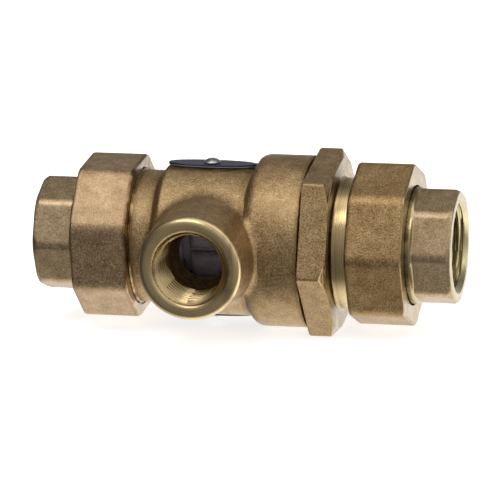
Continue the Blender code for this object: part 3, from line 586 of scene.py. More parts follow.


# Leaded red bronze, sand cast and shot blasted: a fine sparkling grain over slow tan and brown
# clouds, smoother and yellower where it was turned, burnt brown where the flux ran. On the body it
# also carries painted shade in the creases at the flare and the barrel's shoulder, a painted shadow
# under the plates and a painted highlight round the vent's rim.
BRONZE_CUT = ("#a58c60", "#d2bb8e")
NECK_REACH = 0.0215                      # more than the neck's radius, less than the waist's
FLUX_START, FLUX_END = inlet_face + 0.0080, 0.0306
UNDER_PLATE = (0.0388, 0.0655)           # the waist under the plates, where a painted shadow darkens it
UNDER_PLATE_HEIGHT = 0.0180
UNDER_PLATE_HALF_WIDTH = 0.0052
bronze = cast_and_cut("shot_blasted_cast_bronze", ("#7d6546", "#ab8e65", "#d4ba90"), BRONZE_CUT)
casting = main_body()
x, radius, y, z = coordinates(casting)
from_vent = np.hypot(x - vent_x, z)
is_vent = (y < -WAIST_RADIUS - 0.002) & (from_vent < VENT_RADIUS + 0.0003)
rim = is_vent & ((-y > vent_face - 0.0016) | (from_vent < VENT_RADIUS - 0.0012))
is_inside = radius < BODY_BORE + 0.0001
is_neck = radius < NECK_REACH
thread_floor = vent_face - VENT_THREAD_DEPTH
paint(casting, "turned", np.where(rim, band(-y, thread_floor, vent_face, 0.0010), 0.0)
      + band(x, inlet_face, inlet_face + 0.0093, 0.0003)
      + np.where((radius < barrel_radius - 0.0006) & (x > BARREL_START + 0.006), 1.0, 0.0)
      + np.where(is_inside, 0.8, 0.0))
# Painted shadow: dark brown on the waist along each plate, where the plate would shade it
painted_plate_shadow = band(x, *UNDER_PLATE, 0.0008) * band(np.abs(y), 0.0, UNDER_PLATE_HALF_WIDTH, 0.0022) \
    * (np.abs(z) > UNDER_PLATE_HEIGHT)
# Real flux stains on the neck and at the outlet end, painted shade in the creases at the flare and at the
# barrel's shoulder, and the painted shadow under the plates
paint(casting, "stain_and_shade", 0.80 * band(x, FLUX_START, FLUX_END, 0.0011) * is_neck
      + 0.55 * band(x, body_end - 0.0002, body_end + 0.001, 0.0011)
      + 0.35 * band(x, FLARE_START - 0.0012, FLARE_START + 0.0008, 0.0010) * is_neck
      + 0.35 * band(x, BARREL_START - 0.0012, BARREL_START + 0.0010, 0.0008) + 0.8 * painted_plate_shadow)
# Painted highlight: the light cut colour in a band round the outer round of the vent's rim
paint(casting, "painted_highlight", 0.7 * band(from_vent, VENT_RADIUS - 0.0018, VENT_RADIUS - 0.0006, 0.0005) * rim)
paint(casting, "lathe", np.where(is_vent, from_vent - y, x + radius))
stands_for(casting, "main_body", "body", bronze)


# ---- Outlet cap: a bronze casting with a hexagon, machined all over except the hexagon's flats.
# It screws into the barrel, clamps the second check's seat, and carries the outlet's union thread.

HEX_FLATS = 0.0491
HEX_LENGTH = 0.0084
HEX_INNER_FACE_RADIUS = 0.0276       # towards the barrel
HEX_OUTER_FACE_RADIUS = 0.0252
HEX_TURN = math.radians(39.7)
HEX_EDGE = 0.0006
CAP_NECK_RADIUS = 0.0194
CAP_NECK_BORE = 0.0130
CAP_CAGE_BORE = 0.0140
CAP_BORE = 0.0183
CAP_NECK_FILLET = 0.0010
CAP_NECK_BORE_LENGTH = 0.0070
SEAM = 0.0003
POLYGON_CROWD = 0.84                 # how far columns crowd towards corners, below 1
CHAMFER_STEEPNESS = math.sqrt(3)
CHAMFER_ROUND = 0.00025
CHAMFER_BLEND = 0.0002
HEX_FACE_ROUND = 0.0002
HEX_REACH = 0.0205                   # less than the hexagon's radius, more than the neck's

cap_low, cap_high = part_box("outlet_cap")
hex_start = body_end + SEAM
hex_end = hex_start + HEX_LENGTH


def crowded_angles(sides, turn, per_side):
    """Angles all round that crowd together at a polygon's corners."""
    share = np.arange(per_side) / per_side
    eased = share - POLYGON_CROWD * np.sin(2 * math.pi * share) / (2 * math.pi)
    return np.concatenate([turn + (side + eased) * 2 * math.pi / sides for side in range(sides)])


def polygon_radius(angles, sides, flats, turn, edge):
    """Radius of a regular polygon with rounded corners; turn is the angle of a corner."""
    pitch = 2 * math.pi / sides
    offset = (angles - turn) % pitch - pitch / 2
    apothem = flats / 2
    here = apothem / np.cos(offset)
    beside = apothem / np.cos(pitch - np.abs(offset))
    return smooth_min(here, beside, edge)


def chamfered(x, angles, low, high, face_radii, sides, flats, turn, edge):
    """Radius of a polygon whose corners are turned down by cones at both ends, and the share turned."""
    sides_radius = polygon_radius(angles, sides, flats, turn, edge)
    low_cone = face_radii[0] + (x - low) * CHAMFER_STEEPNESS
    high_cone = face_radii[1] + (high - x) * CHAMFER_STEEPNESS
    cone = np.minimum(low_cone, high_cone)
    turned = np.clip((sides_radius - cone) / CHAMFER_BLEND + 0.5, 0, 1)
    return smooth_min(sides_radius, cone, CHAMFER_ROUND), turned


def row_list(place):
    """A list of rows for lathe_shape, and what adds one at place(x): radius and share turned."""
    rows = []

    def add(x, radius, turned=1.0):
        rows.append((place(x), radius, turned))

    return rows, add


def cap_rows():
    """The cap's angles, and its rows for lathe_shape round its section from the inner end."""
    angles = crowded_angles(6, HEX_TURN, per_side=36)
    rows, add = row_list(float)
    root = CAP_THREAD_ROOT
    add(cap_low.x, CAP_BORE)
    add(cap_low.x, root - 0.0002)
    for x in np.arange(cap_low.x + 0.0001, hex_start - 0.0016, CAP_PITCH / ROWS_PER_PITCH):
        fade = band(x, cap_low.x + 0.0010, hex_start - 0.0030, 0.0010)
        add(x, root + fade * THREAD_DEPTH * thread_wave(x, angles, CAP_PITCH))
    add(hex_start - 0.0014, root)
    add(hex_start, root)

    def hexagon(x):
        """Radius and share turned at every angle."""
        return chamfered(x, angles, hex_start, hex_end, (HEX_INNER_FACE_RADIUS, HEX_OUTER_FACE_RADIUS),
                         6, HEX_FLATS, HEX_TURN, HEX_EDGE)

    edge = HEX_FACE_ROUND
    for share in (0.25, 0.5, 0.75, 0.96):
        add(hex_start, root + (hexagon(hex_start + edge)[0] - edge - root) * share)
    for angle in np.linspace(0, math.pi / 2, 4):
        x = hex_start + edge * (1 - math.cos(angle))
        radius, turned = hexagon(hex_start + edge)
        add(x, radius - edge * (1 - math.sin(angle)), turned)
    for x in np.linspace(hex_start + edge, hex_end - edge, 60)[1:-1]:
        add(x, *hexagon(x))
    for angle in np.linspace(math.pi / 2, 0, 4):
        radius, turned = hexagon(hex_end - edge)
        add(hex_end - edge * (1 - math.cos(angle)), radius - edge * (1 - math.sin(angle)), turned)
    neck = CAP_NECK_RADIUS + CAP_NECK_FILLET
    for share in (0.96, 0.7, 0.4, 0.15, 0.0):
        add(hex_end, neck + (hexagon(hex_end - edge)[0] - edge - neck) * share)
    for angle in np.linspace(0.2, math.pi / 2, 5):
        along = 1 - math.cos(angle) if angle < 1.5 else 1
        add(hex_end + CAP_NECK_FILLET * along, CAP_NECK_RADIUS + CAP_NECK_FILLET * (1 - math.sin(angle)))
    thread_start = cap_high.x - UNION_THREAD_LENGTH
    for x in np.linspace(hex_end + 0.0016, thread_start - 0.0002, 8):
        add(x, CAP_NECK_RADIUS)
    for x in np.arange(thread_start, cap_high.x - 0.0001, UNION_PITCH / ROWS_PER_PITCH):
        fade = band(x, thread_start + 0.0008, cap_high.x - 0.0011, 0.0008)
        low = CAP_NECK_RADIUS + (UNION_ROOT - CAP_NECK_RADIUS) * min((x - thread_start) / 0.0008, 1)
        add(x, low + fade * THREAD_DEPTH * thread_wave(x, angles, UNION_PITCH))
    add(cap_high.x, UNION_ROOT - 0.0003)
    add(cap_high.x, CAP_NECK_BORE + 0.0003)
    add(cap_high.x - 0.0003, CAP_NECK_BORE)
    add(cap_high.x - CAP_NECK_BORE_LENGTH, CAP_NECK_BORE)
    add(cap_high.x - CAP_NECK_BORE_LENGTH - 0.0010, CAP_CAGE_BORE)
    add(hex_start + HEX_LENGTH / 2 + 0.0020, CAP_CAGE_BORE)
    add(hex_start + HEX_LENGTH / 2, CAP_BORE)
    return angles, rows


def lathe_shape(name, angles, rows):
    """A closed ring piece from rows of x, radius and share turned: numbers, or one for each angle."""
    points = np.concatenate([skin(x, radius, angles) for x, radius, turned in rows])
    turned = np.concatenate([np.broadcast_to(turned, angles.shape) for x, radius, turned in rows])
    faces = grid_faces(len(rows), len(angles))
    piece = new_shape(name, points, faces)
    paint(piece, "turned", turned)
    return piece


cap = lathe_shape("hexagonal_outlet_cap", *cap_rows())
x, radius, y, z = coordinates(cap)
on_chamfer = np.clip((x - (hex_start + hex_end) / 2) / 0.0005, 0, 1) * (radius > HEX_REACH)
paint(cap, "stain_and_shade", 0.60 * on_chamfer * stored(cap, "turned")
      + 0.5 * band(x, hex_end + 0.0001, hex_end + 0.0005, 0.0006) * (radius < HEX_REACH)
      + 0.40 * band(x, hex_start - 0.0003, hex_start, 0.0003) * (radius > HEX_REACH))
stands_for(cap, "outlet_cap", "cap", bronze)


# ---- Union nuts: two equal octagonal bronze castings. The bore is threaded and ends in a lip that
# pulls the tailpiece's flange against the gasket. Ends and corner chamfers are faced on a lathe.

NUT_FLATS = 0.0459
NUT_FACE_RADIUS = 0.0236
NUT_LIP = 0.0034
NUT_EDGE = 0.0016
NUT_ROUND = 0.0004
NUT_CHAMFER = 0.0012                 # length over which rows crowd together at the ends
NUT_RELIEF = 0.0030                  # thread's run-out, from the lip
NUT_OPENING = 0.0012                 # of the thread's mouth, along and out
NUT_THREAD_CLEARANCE = 0.0002
TAIL_FLATS = 0.0324
RUNNING_GAP = 0.0003
LIP_BORE = TAIL_FLATS / 2 / math.cos(math.pi / 8) + RUNNING_GAP


def from_end(low, high, at_low_end):
    """What turns a distance from one end of a box into a place along X."""
    return (lambda x: low.x + x) if at_low_end else (lambda x: high.x - x)


def union_nut(name, node, body, turn, face_at_low_end, colours):
    """An octagonal nut; x is the distance from the lip's face, and turn the angle of a corner."""
    low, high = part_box(node)
    length = high.x - low.x
    angles = crowded_angles(8, turn, per_side=28)
    place = from_end(low, high, face_at_low_end)
    rows, add = row_list(place)
    bore_root = UNION_ROOT + NUT_THREAD_CLEARANCE

    def octagon(x):
        """Radius and share turned at every angle."""
        return chamfered(x, angles, 0.0, length, (NUT_FACE_RADIUS, NUT_FACE_RADIUS),
                         8, NUT_FLATS, turn, NUT_EDGE)

    def rounded_end(at, outward):
        """Rows over the edge of an end face; outward is 1 or -1."""
        radius, turned = octagon(at + outward * -NUT_ROUND)
        steps = np.linspace(0, math.pi / 2, 5)
        for angle in steps if outward < 0 else steps[::-1]:
            add(at - outward * NUT_ROUND * (1 - math.cos(angle)),
                radius - NUT_ROUND * (1 - math.sin(angle)), np.maximum(turned, 0.6))

    add(0.0004, LIP_BORE)
    add(0.0001, LIP_BORE + 0.0001)
    for share in (0.0, 0.3, 0.6, 0.9):
        edge_radius = octagon(NUT_ROUND)[0] - NUT_ROUND
        add(0.0, LIP_BORE + 0.0004 + (edge_radius - LIP_BORE - 0.0004) * share)
    rounded_end(0.0, -1)
    chamfer_end, chamfer_start = NUT_CHAMFER, length - NUT_CHAMFER
    for x in np.concatenate([np.linspace(NUT_ROUND, chamfer_end, 8)[1:],
                             np.linspace(chamfer_end, chamfer_start, 22)[1:-1],
                             np.linspace(chamfer_start, length - NUT_ROUND, 8)[:-1]]):
        add(x, *octagon(x))
    rounded_end(length, 1)
    mouth = bore_root + THREAD_DEPTH + 0.0004
    for share in (0.9, 0.5, 0.1, 0.0):
        edge_radius = octagon(length - NUT_ROUND)[0] - NUT_ROUND
        add(length, mouth + (edge_radius - mouth) * share)
    for x in np.arange(length - 0.0005, NUT_LIP + 0.0006, -UNION_PITCH / ROWS_PER_PITCH):
        wave = THREAD_DEPTH * thread_wave(place(x), angles, UNION_PITCH)
        relief = THREAD_DEPTH * np.clip((NUT_LIP + NUT_RELIEF - x) / 0.0010, 0, 1)
        opening = max(0.0, x - length + NUT_OPENING)
        add(x, bore_root + np.maximum(wave, relief) + opening)
    add(NUT_LIP, bore_root + THREAD_DEPTH)
    add(NUT_LIP, LIP_BORE + 0.0002)
    add(NUT_LIP - 0.0002, LIP_BORE)
    piece = lathe_shape(name, angles, rows)
    x, radius, y, z = coordinates(piece)
    from_lip = x - low.x if face_at_low_end else high.x - x
    height = z / NUT_FLATS + 0.5
    paint(piece, "stain_and_shade", 0.8 * band(from_lip, length - 0.0004, length, 0.0009) * (0.55 + 0.45 * height)
          + 0.35 * band(from_lip, 0.0, 0.0004, 0.0005))
    stands_for(piece, node, body, cast_and_cut(name + "_bronze", colours, BRONZE_CUT))


# The same bronze from two heats: the inlet's nut is paler, the outlet's is browner
union_nut("inlet_union_nut_casting", "inlet_union_nut", "inlet_nut", math.radians(27.2), True,
          ("#836c50", "#b39672", "#d9c19e"))
union_nut("outlet_union_nut_casting", "outlet_union_nut", "outlet_nut", math.radians(-0.8), False,
          ("#775c3a", "#a98a5e", "#d0b486"))


# ---- Tailpieces: cast yellow brass ends, greener than the bronze, turned all over with milled
# octagon flats, a round collar, a flange inside the nut, and a female taper pipe thread.

TAIL_OCTAGON = 0.0116
TAIL_FLANGE_RADIUS = 0.0195
TAIL_FLANGE = 0.0026
TAIL_BORE = 0.0114
TAIL_EDGE = 0.0012
TAIL_FACE_RADIUS = 0.0158
TAIL_CHAMFER_STEEPNESS = 1.3
TAIL_RIM_ROUND = 0.0007
TAIL_COLLAR_STEP = 0.00015           # of the collar below the octagon's corners
TAIL_BREAK = 0.0003                  # broken edges of the flange and the bore
PIPE_THREAD_RADIUS = 0.0119
PIPE_THREAD_DEPTH = 0.0140
PIPE_MOUTH_RADIUS = 0.0138


# Yellow brass, skimmed on a lathe and milled: khaki, with fine rings and dull greenish clouds
brass = cast_and_cut("skimmed_yellow_brass", ("#897356", "#b29876", "#d0b996"), ("#a39572", "#cdc096"),
                     "#5b4526", grain=0.0005, cast_rough=(0.32, 0.52), relief=0.00006)


def tailpiece(name, node, body, turn, mouth_at_low_end):
    """A tailpiece; x is the distance from its mouth, and turn the angle of a corner."""
    low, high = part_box(node)
    length = high.x - low.x
    corner = TAIL_FLATS / 2 / math.cos(math.pi / 8)
    angles = crowded_angles(8, turn, per_side=26)
    place = from_end(low, high, mouth_at_low_end)
    rows, add = row_list(place)

    def outside(x):
        """The octagon, and the round collar past its end where the milling cutter ran out."""
        octagon = polygon_radius(angles, 8, TAIL_FLATS, turn, TAIL_EDGE)
        run_out = np.clip((x - TAIL_OCTAGON + 0.0003) / 0.0006, 0, 1)
        lathe = min(corner - TAIL_COLLAR_STEP, TAIL_FACE_RADIUS + x * TAIL_CHAMFER_STEEPNESS)
        return smooth_min(octagon + (corner - octagon) * run_out ** 2, lathe, 0.0003)

    add(0.0, PIPE_MOUTH_RADIUS + 0.0001)
    add(0.0, PIPE_MOUTH_RADIUS + 0.0005)
    rim = outside(TAIL_RIM_ROUND)
    add(0.0, rim - TAIL_RIM_ROUND - 0.0002)
    for angle in np.linspace(0, math.pi / 2, 6):
        add(TAIL_RIM_ROUND * (1 - math.cos(angle)), rim - TAIL_RIM_ROUND * (1 - math.sin(angle)),
            1.0 - 0.9 * angle / (math.pi / 2))
    for x in np.linspace(TAIL_RIM_ROUND, TAIL_OCTAGON - 0.0004, 22)[1:]:
        add(x, outside(x), 0.05)
    for x in np.linspace(TAIL_OCTAGON - 0.0003, TAIL_OCTAGON + 0.0003, 5):
        add(x, outside(x), 0.5)
    flange_x = length - TAIL_FLANGE
    for x in np.linspace(TAIL_OCTAGON + 0.0005, flange_x, 9):
        add(x, corner - TAIL_COLLAR_STEP)
    add(flange_x, TAIL_FLANGE_RADIUS - TAIL_BREAK)
    add(flange_x + TAIL_BREAK, TAIL_FLANGE_RADIUS)
    add(length - TAIL_BREAK, TAIL_FLANGE_RADIUS)
    add(length, TAIL_FLANGE_RADIUS - TAIL_BREAK)
    add(length, TAIL_BORE + TAIL_BREAK)
    add(length - TAIL_BREAK, TAIL_BORE)
    add(PIPE_THREAD_DEPTH + 0.0010, TAIL_BORE)
    mouth = PIPE_MOUTH_RADIUS - PIPE_THREAD_RADIUS
    for x in np.arange(PIPE_THREAD_DEPTH, mouth * 0.4, -PIPE_PITCH / ROWS_PER_PITCH):
        fade = np.clip((PIPE_THREAD_DEPTH - x) / 0.0018, 0, 1)
        taper = (PIPE_THREAD_DEPTH - x) * PIPE_TAPER
        thread = PIPE_THREAD_RADIUS + taper + fade * THREAD_DEPTH * thread_wave(place(x), angles, PIPE_PITCH)
        chamfer = PIPE_MOUTH_RADIUS - x * 0.9
        add(x, np.maximum(thread, chamfer))
    piece = lathe_shape(name, angles, rows)
    x, radius, y, z = coordinates(piece)
    depth = x - low.x if mouth_at_low_end else high.x - x
    # Darker on the collar and flange where they go in under the nut, and darker from 4 mm into the bore
    paint(piece, "stain_and_shade", 0.7 * band(depth, TAIL_OCTAGON + 0.0012, length, 0.0005) * (radius > 0.016)
          + 0.30 * band(depth, 0.004, length, 0.003) * (radius < 0.0135))
    stands_for(piece, node, body, brass)


tailpiece("inlet_tailpiece_turned", "inlet_tailpiece", "inlet_tail", math.radians(0.2), True)
tailpiece("outlet_tailpiece_turned", "outlet_tailpiece", "outlet_tail", math.radians(-1.2), False)


# ---- Identification plates and rivets: thin oval aluminium plates, anodised navy with a bright
# stamped edge, one above and one below the waist, each held by a domed drive rivet.

PLATE_ROUNDNESS = 2.3
PLATE_STEPS = 96
PLATE_EDGE = 0.00018
PLATE_MARGIN = 0.0009
PLATE_HOLE = 0.0013
RIVET_DOME_STEPS = 8
RIVET_STEPS = 48
RIVET_HEAD = 0.0011
RIVET_SHANK_RADIUS = 0.0010
RIVET_TIP_CHAMFER = 0.0001


def anodised_plate():
    """Anodised aluminium: deep navy, satin, with a fine brushed drift and its bare edge silver."""
    material, tree, shader, place = new_material("navy_anodised_aluminium", Metallic=0.45)
    along = add_node(tree, "ShaderNodeMapping", {"Vector": place, "Scale": (300.0, 5000.0, 300.0)})
    brushed = add_node(tree, "ShaderNodeTexNoise", {"Vector": along, "Scale": 1.0, "Detail": 3.0})
    bare = add_node(tree, "ShaderNodeAttribute", attribute_name="bare").outputs["Fac"]
    navy = add_node(tree, "ShaderNodeValToRGB", {0: brushed}, ((0.3, "#0c1526"), (0.7, "#1a2a48")))
    base = add_node(tree, "ShaderNodeMix", {0: bare, 6: navy, 7: linear("#b9bdc4")}, data_type="RGBA")
    rough = add_node(tree, "ShaderNodeMapRange", {0: brushed, 3: 0.28, 4: 0.45})
    bump = add_node(tree, "ShaderNodeBump", {"Strength": 0.2, "Distance": 0.00002, "Height": brushed})
    connect(tree, shader, base, rough, bump)
    return material


def drawn_steel():
    """Stainless wire and rod, cold headed: pale grey, smooth, with faint drawing streaks."""
    material, tree, shader, place = new_material("cold_headed_stainless_steel", Metallic=1.0)
    streak = add_node(tree, "ShaderNodeTexNoise", {"Vector": place, "Scale": 1 / 0.0006, "Detail": 4.0})
    base = add_node(tree, "ShaderNodeValToRGB", {0: streak}, ((0.3, "#989998"), (0.7, "#c6c7c5")))
    rough = add_node(tree, "ShaderNodeMapRange", {0: streak, 3: 0.18, 4: 0.38})
    bump = add_node(tree, "ShaderNodeBump", {"Strength": 0.2, "Distance": 0.00002, "Height": streak})
    connect(tree, shader, base, rough, bump)
    return material


navy = anodised_plate()
steel = drawn_steel()


def plate(name, node, side):
    """An oval plate with a hole; side is 1 above the valve and -1 below."""
    low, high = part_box(node)
    centre = (low.x + high.x) / 2
    half_length, half_width = (high.x - low.x) / 2, (high.y - low.y) / 2
    under, over = (low.z, high.z) if side > 0 else (high.z, low.z)
    angles = np.arange(PLATE_STEPS) * 2 * math.pi / PLATE_STEPS
    power = 2 / PLATE_ROUNDNESS
    along = np.sign(np.cos(angles)) * np.abs(np.cos(angles)) ** power
    across = np.sign(np.sin(angles)) * np.abs(np.sin(angles)) ** power
    rings, bare = [], []

    def add(inset, z, is_bare, share=1.0):
        """A ring inset from the edge; share leads from the hole's edge, at 0, to it."""
        x = centre + (half_length - inset) * along * share + PLATE_HOLE * np.cos(angles) * (1 - share)
        y = (half_width - inset) * across * share + PLATE_HOLE * np.sin(angles) * (1 - share)
        rings.append(np.stack([x, y, np.full_like(x, z)], axis=-1))
        bare.extend([is_bare] * PLATE_STEPS)

    add(0, under, 1.0, 0.0)
    add(PLATE_EDGE, under, 1.0)
    add(0, under + side * PLATE_EDGE, 1.0)
    add(0, under + side * 1.6 * PLATE_EDGE, 1.0)
    add(0, under + side * 1.8 * PLATE_EDGE, 0.0)
    add(0, over - side * PLATE_EDGE, 0.0)
    add(PLATE_EDGE, over, 0.0)
    for share in (1.0, 0.8, 0.5, 0.2, 0.0):
        add(PLATE_MARGIN, over, 0.0, share)
    points = np.concatenate(rings)
    piece = new_shape(name, points, grid_faces(len(rings), PLATE_STEPS))
    paint(piece, "bare", np.array(bare))
    stands_for(piece, node, "body", navy)


def rivet(name, node, side):
    """A domed rivet; side is 1 above the valve and -1 below."""
    low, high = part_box(node)
    centre_x, radius = (low.x + high.x) / 2, (high.x - low.x) / 2
    tip, top = (low.z, high.z) if side > 0 else (high.z, low.z)
    under_head = top - side * RIVET_HEAD
    dome_radius = (radius ** 2 + RIVET_HEAD ** 2) / (2 * RIVET_HEAD)
    profile = [(0.0, tip), (RIVET_SHANK_RADIUS - RIVET_TIP_CHAMFER, tip),
               (RIVET_SHANK_RADIUS, tip + side * 2 * RIVET_TIP_CHAMFER), (RIVET_SHANK_RADIUS, under_head),
               (radius, under_head)]
    rim = math.asin(radius / dome_radius)
    for angle in np.linspace(rim, 0, RIVET_DOME_STEPS):
        profile.append((dome_radius * math.sin(angle), top - side * dome_radius * (1 - math.cos(angle))))
    angles = np.arange(RIVET_STEPS) * 2 * math.pi / RIVET_STEPS
    points = np.concatenate([np.stack([centre_x + r * np.cos(angles), r * np.sin(angles),
                                       np.full_like(angles, z)], axis=-1) for r, z in profile])
    faces = grid_faces(len(profile), RIVET_STEPS, closed_rows=False)
    stands_for(new_shape(name, points, faces), node, "body", steel)


for side, place in ((1, "top"), (-1, "bottom")):
    plate(place + "_plate_anodised", place + "_id_plate", side)
    rivet(place + "_rivet_domed", place + "_id_rivet", side)


# ---- Seals: moulded nitrile rubber. Three O-rings in their seats and grooves, a flat washer in each
# union, the diaphragm between body and sleeve, and the disc in each check's holder.

ORING_WIRE = 0.0008
SEAL_ROUND = 0.00025
WASHER_BORE = 0.0132
DISC_BORE = 0.0020
DIAPHRAGM_BORE = 0.0091
ROUGHNESS_SPREAD = 0.08
WIRE_SIDES = 12
RING_STEPS = 96


def soft_plastic(name, dark, light, rough, speck, relief):
    """A moulded polymer: slow tone from its flow in the mould, and a fine matt speckle."""
    material, tree, shader, place = new_material(name)
    flow = add_node(tree, "ShaderNodeTexNoise", {"Vector": place, "Scale": 1 / 0.004, "Detail": 3.0})
    specks = add_node(tree, "ShaderNodeTexNoise", {"Vector": place, "Scale": 1 / speck, "Detail": 2.0})
    tone = add_node(tree, "ShaderNodeMix", {0: 0.4, 2: flow, 3: specks})
    base = add_node(tree, "ShaderNodeValToRGB", {0: tone}, ((0.38, dark), (0.62, light)))
    roughness = add_node(tree, "ShaderNodeMapRange", {
        0: specks, 1: 0.3, 2: 0.7, 3: rough - ROUGHNESS_SPREAD, 4: rough + ROUGHNESS_SPREAD})
    bump = add_node(tree, "ShaderNodeBump", {"Strength": 0.4, "Distance": relief, "Height": specks})
    connect(tree, shader, base, roughness, bump)
    return material


# Nitrile rubber, compression moulded: black going grey, matt, with talc in its pores
rubber = soft_plastic("moulded_nitrile_rubber", "#151515", "#2b2a29", 0.62, 0.0003, 0.00003)


def new_tree(name, **inputs):
    """A Geometry Nodes tree with named inputs, and the sockets that give them."""
    tree = bpy.data.node_groups.new(name, "GeometryNodeTree")
    for socket, kind in {**inputs, "Material": "NodeSocketMaterial"}.items():
        tree.interface.new_socket(socket, in_out="INPUT", socket_type=kind)
    tree.interface.new_socket("Geometry", in_out="OUTPUT", socket_type="NodeSocketGeometry")
    return tree, tree.nodes.new("NodeGroupInput").outputs


def end_tree(tree, given, geometry):
    """Ends a tree in real geometry with the material set."""
    real = add_node(tree, "GeometryNodeRealizeInstances", {0: geometry})
    done = add_node(tree, "GeometryNodeSetMaterial", {"Geometry": real, "Material": given["Material"]})
    add_node(tree, "NodeGroupOutput", {0: done})
    return tree


def run_tree(piece, tree, **values):
    """Keeps what a tree makes of a piece as the piece's plain mesh."""
    modifier = piece.modifiers.new(tree.name, "NODES")
    modifier.node_group = tree
    for item in tree.interface.items_tree:
        if item.in_out == "INPUT" and item.name in values:
            modifier[item.identifier] = values[item.name]
    graph = bpy.context.evaluated_depsgraph_get()
    made = bpy.data.meshes.new_from_object(piece.evaluated_get(graph), depsgraph=graph)
    piece.modifiers.remove(modifier)
    piece.data = made
    smooth_shaded(made)
    return piece


def wire_tree(name, curve_node, curve_inputs):
    """A round wire along a circle or a coil about X, starting at Start."""
    tree, given = new_tree(name, Radius="NodeSocketFloat", Wire="NodeSocketFloat",
                           Start="NodeSocketFloat", Length="NodeSocketFloat",
                           Turns="NodeSocketFloat")
    curve = add_node(tree, curve_node, {key: given[value] if isinstance(value, str) else value
                                        for key, value in curve_inputs.items()})
    start = add_node(tree, "ShaderNodeCombineXYZ", {0: given["Start"]})
    placed = add_node(tree, "GeometryNodeTransform", {"Geometry": curve, "Translation": start,
                                                      "Rotation": (0.0, math.pi / 2, 0.0)})
    section = add_node(tree, "GeometryNodeCurvePrimitiveCircle", {
        "Resolution": WIRE_SIDES, "Radius": given["Wire"]})
    wire = add_node(tree, "GeometryNodeCurveToMesh", {"Curve": placed, "Profile Curve": section,
                                                      "Fill Caps": True})
    return end_tree(tree, given, wire)


oring_tree = wire_tree("moulded_ring", "GeometryNodeCurvePrimitiveCircle", {
    "Resolution": RING_STEPS, "Radius": "Radius"})


def empty_shape(name):
    """An object with an empty mesh, for a tree to fill."""
    return new_object(name, bpy.data.meshes.new(name))


for node, body in (("cap_oring", "cap_washer"), ("vent_sleeve_oring", "body"),
                   ("second_check_oring", "body")):
    low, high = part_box(node)
    ring = run_tree(empty_shape(node + "_moulded"), oring_tree, Radius=high.z - ORING_WIRE,
                    Wire=ORING_WIRE, Start=(low.x + high.x) / 2, Material=rubber)
    stands_for(ring, node, body, rubber)


def turned_shape(name, corners, fillet=SEAL_ROUND, steps=RING_STEPS):
    """A lathe-turned or round-moulded shape; its corners (x, radius) are rounded off the axis."""
    outline = [(x, r, fillet if r > 0 else 0.0, 0.0030) for x, r in corners]
    reaches_axis = corners[0][1] == 0.0
    points = open_run(outline) if reaches_axis else rounded(outline)
    angles = np.arange(steps) * 2 * math.pi / steps
    shell = skin(points[:, :1], points[:, 1:], angles).reshape(-1, 3)
    return new_shape(name, shell, grid_faces(len(points), steps, closed_rows=not reaches_axis))


def flat_ring(name, node, body, bore):
    """A flat rubber ring that fills its node's box down to the bore."""
    low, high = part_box(node)
    shape = turned_shape(name, [(low.x, bore), (low.x, high.z), (high.x, high.z), (high.x, bore)])
    stands_for(shape, node, body, rubber)


for end in ("inlet", "outlet"):
    flat_ring(end + "_flat_washer", end + "_union_gasket", end + "_washer", WASHER_BORE)
for check in ("first_check", "second_check"):
    flat_ring(check + "_disc_moulded", check + "_disc", check + "_poppet", DISC_BORE)

# The diaphragm has a shallow convolution between the rims that hold it
low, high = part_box("diaphragm")
membrane = turned_shape("diaphragm_moulded", [
    (low.x, DIAPHRAGM_BORE), (low.x, 0.0130), (low.x + 0.0005, 0.0140), (low.x + 0.0005, 0.0158),
    (low.x, 0.0168), (low.x, high.z), (high.x, high.z), (high.x, 0.0160), (high.x - 0.0003, 0.0154),
    (high.x - 0.0003, 0.0144), (high.x, 0.0136), (high.x, DIAPHRAGM_BORE)])
stands_for(membrane, "diaphragm", "body", rubber)
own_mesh(membrane)


# ---- Strainer: a stainless cup that opens towards the inlet, pressed rim and end joined by a woven
# mesh of fine wires. The mesh is drawn coarser than the real one, so that it shows.

MESH_WIRE = 0.00016
MESH_WIRES = 64
MESH_RINGS = 13
ROD_SIDES = 8
STRAINER_RADIUS = 0.0122
STRAINER_WALL = 0.0006
RIM_DEPTH = 0.0010
PRESSED_ROUND = 0.0002

copies_tree, given = new_tree("copies_about_the_axis", Geometry="NodeSocketGeometry",
                              Count="NodeSocketInt", Turn="NodeSocketFloat", Advance="NodeSocketFloat")
step = add_node(copies_tree, "ShaderNodeCombineXYZ", {0: given["Advance"]})
line = add_node(copies_tree, "GeometryNodeMeshLine", {"Count": given["Count"], "Offset": step})
number = add_node(copies_tree, "GeometryNodeInputIndex")
angle = add_node(copies_tree, "ShaderNodeMath", {0: number, 1: given["Turn"]}, operation="MULTIPLY")
about_x = add_node(copies_tree, "ShaderNodeCombineXYZ", {0: angle})
placed = add_node(copies_tree, "GeometryNodeInstanceOnPoints", {
    "Points": line, "Instance": given["Geometry"], "Rotation": about_x})
end_tree(copies_tree, given, placed)


def joined(first, *others):
    """Adds other shapes' meshes to the first and removes them."""
    work = bmesh.new()
    for shape in (first, *others):
        work.from_mesh(shape.data)
    work.to_mesh(first.data)
    work.free()
    for shape in others:
        bpy.data.objects.remove(shape, do_unlink=True)
    return first


def rod(name, begin, end, radius):
    """A straight wire with flat ends."""
    along = (Vector(end) - Vector(begin)).normalized()
    across = along.orthogonal().normalized()
    points = []
    for centre in (begin, end):
        for side in range(ROD_SIDES):
            turn = Matrix.Rotation(2 * math.pi * side / ROD_SIDES, 3, along)
            points.append(Vector(centre) + turn @ across * radius)
    faces = grid_faces(2, ROD_SIDES, closed_rows=False)
    faces += [tuple(range(ROD_SIDES)), tuple(range(ROD_SIDES, 2 * ROD_SIDES))]
    return new_shape(name, np.array(points), faces)


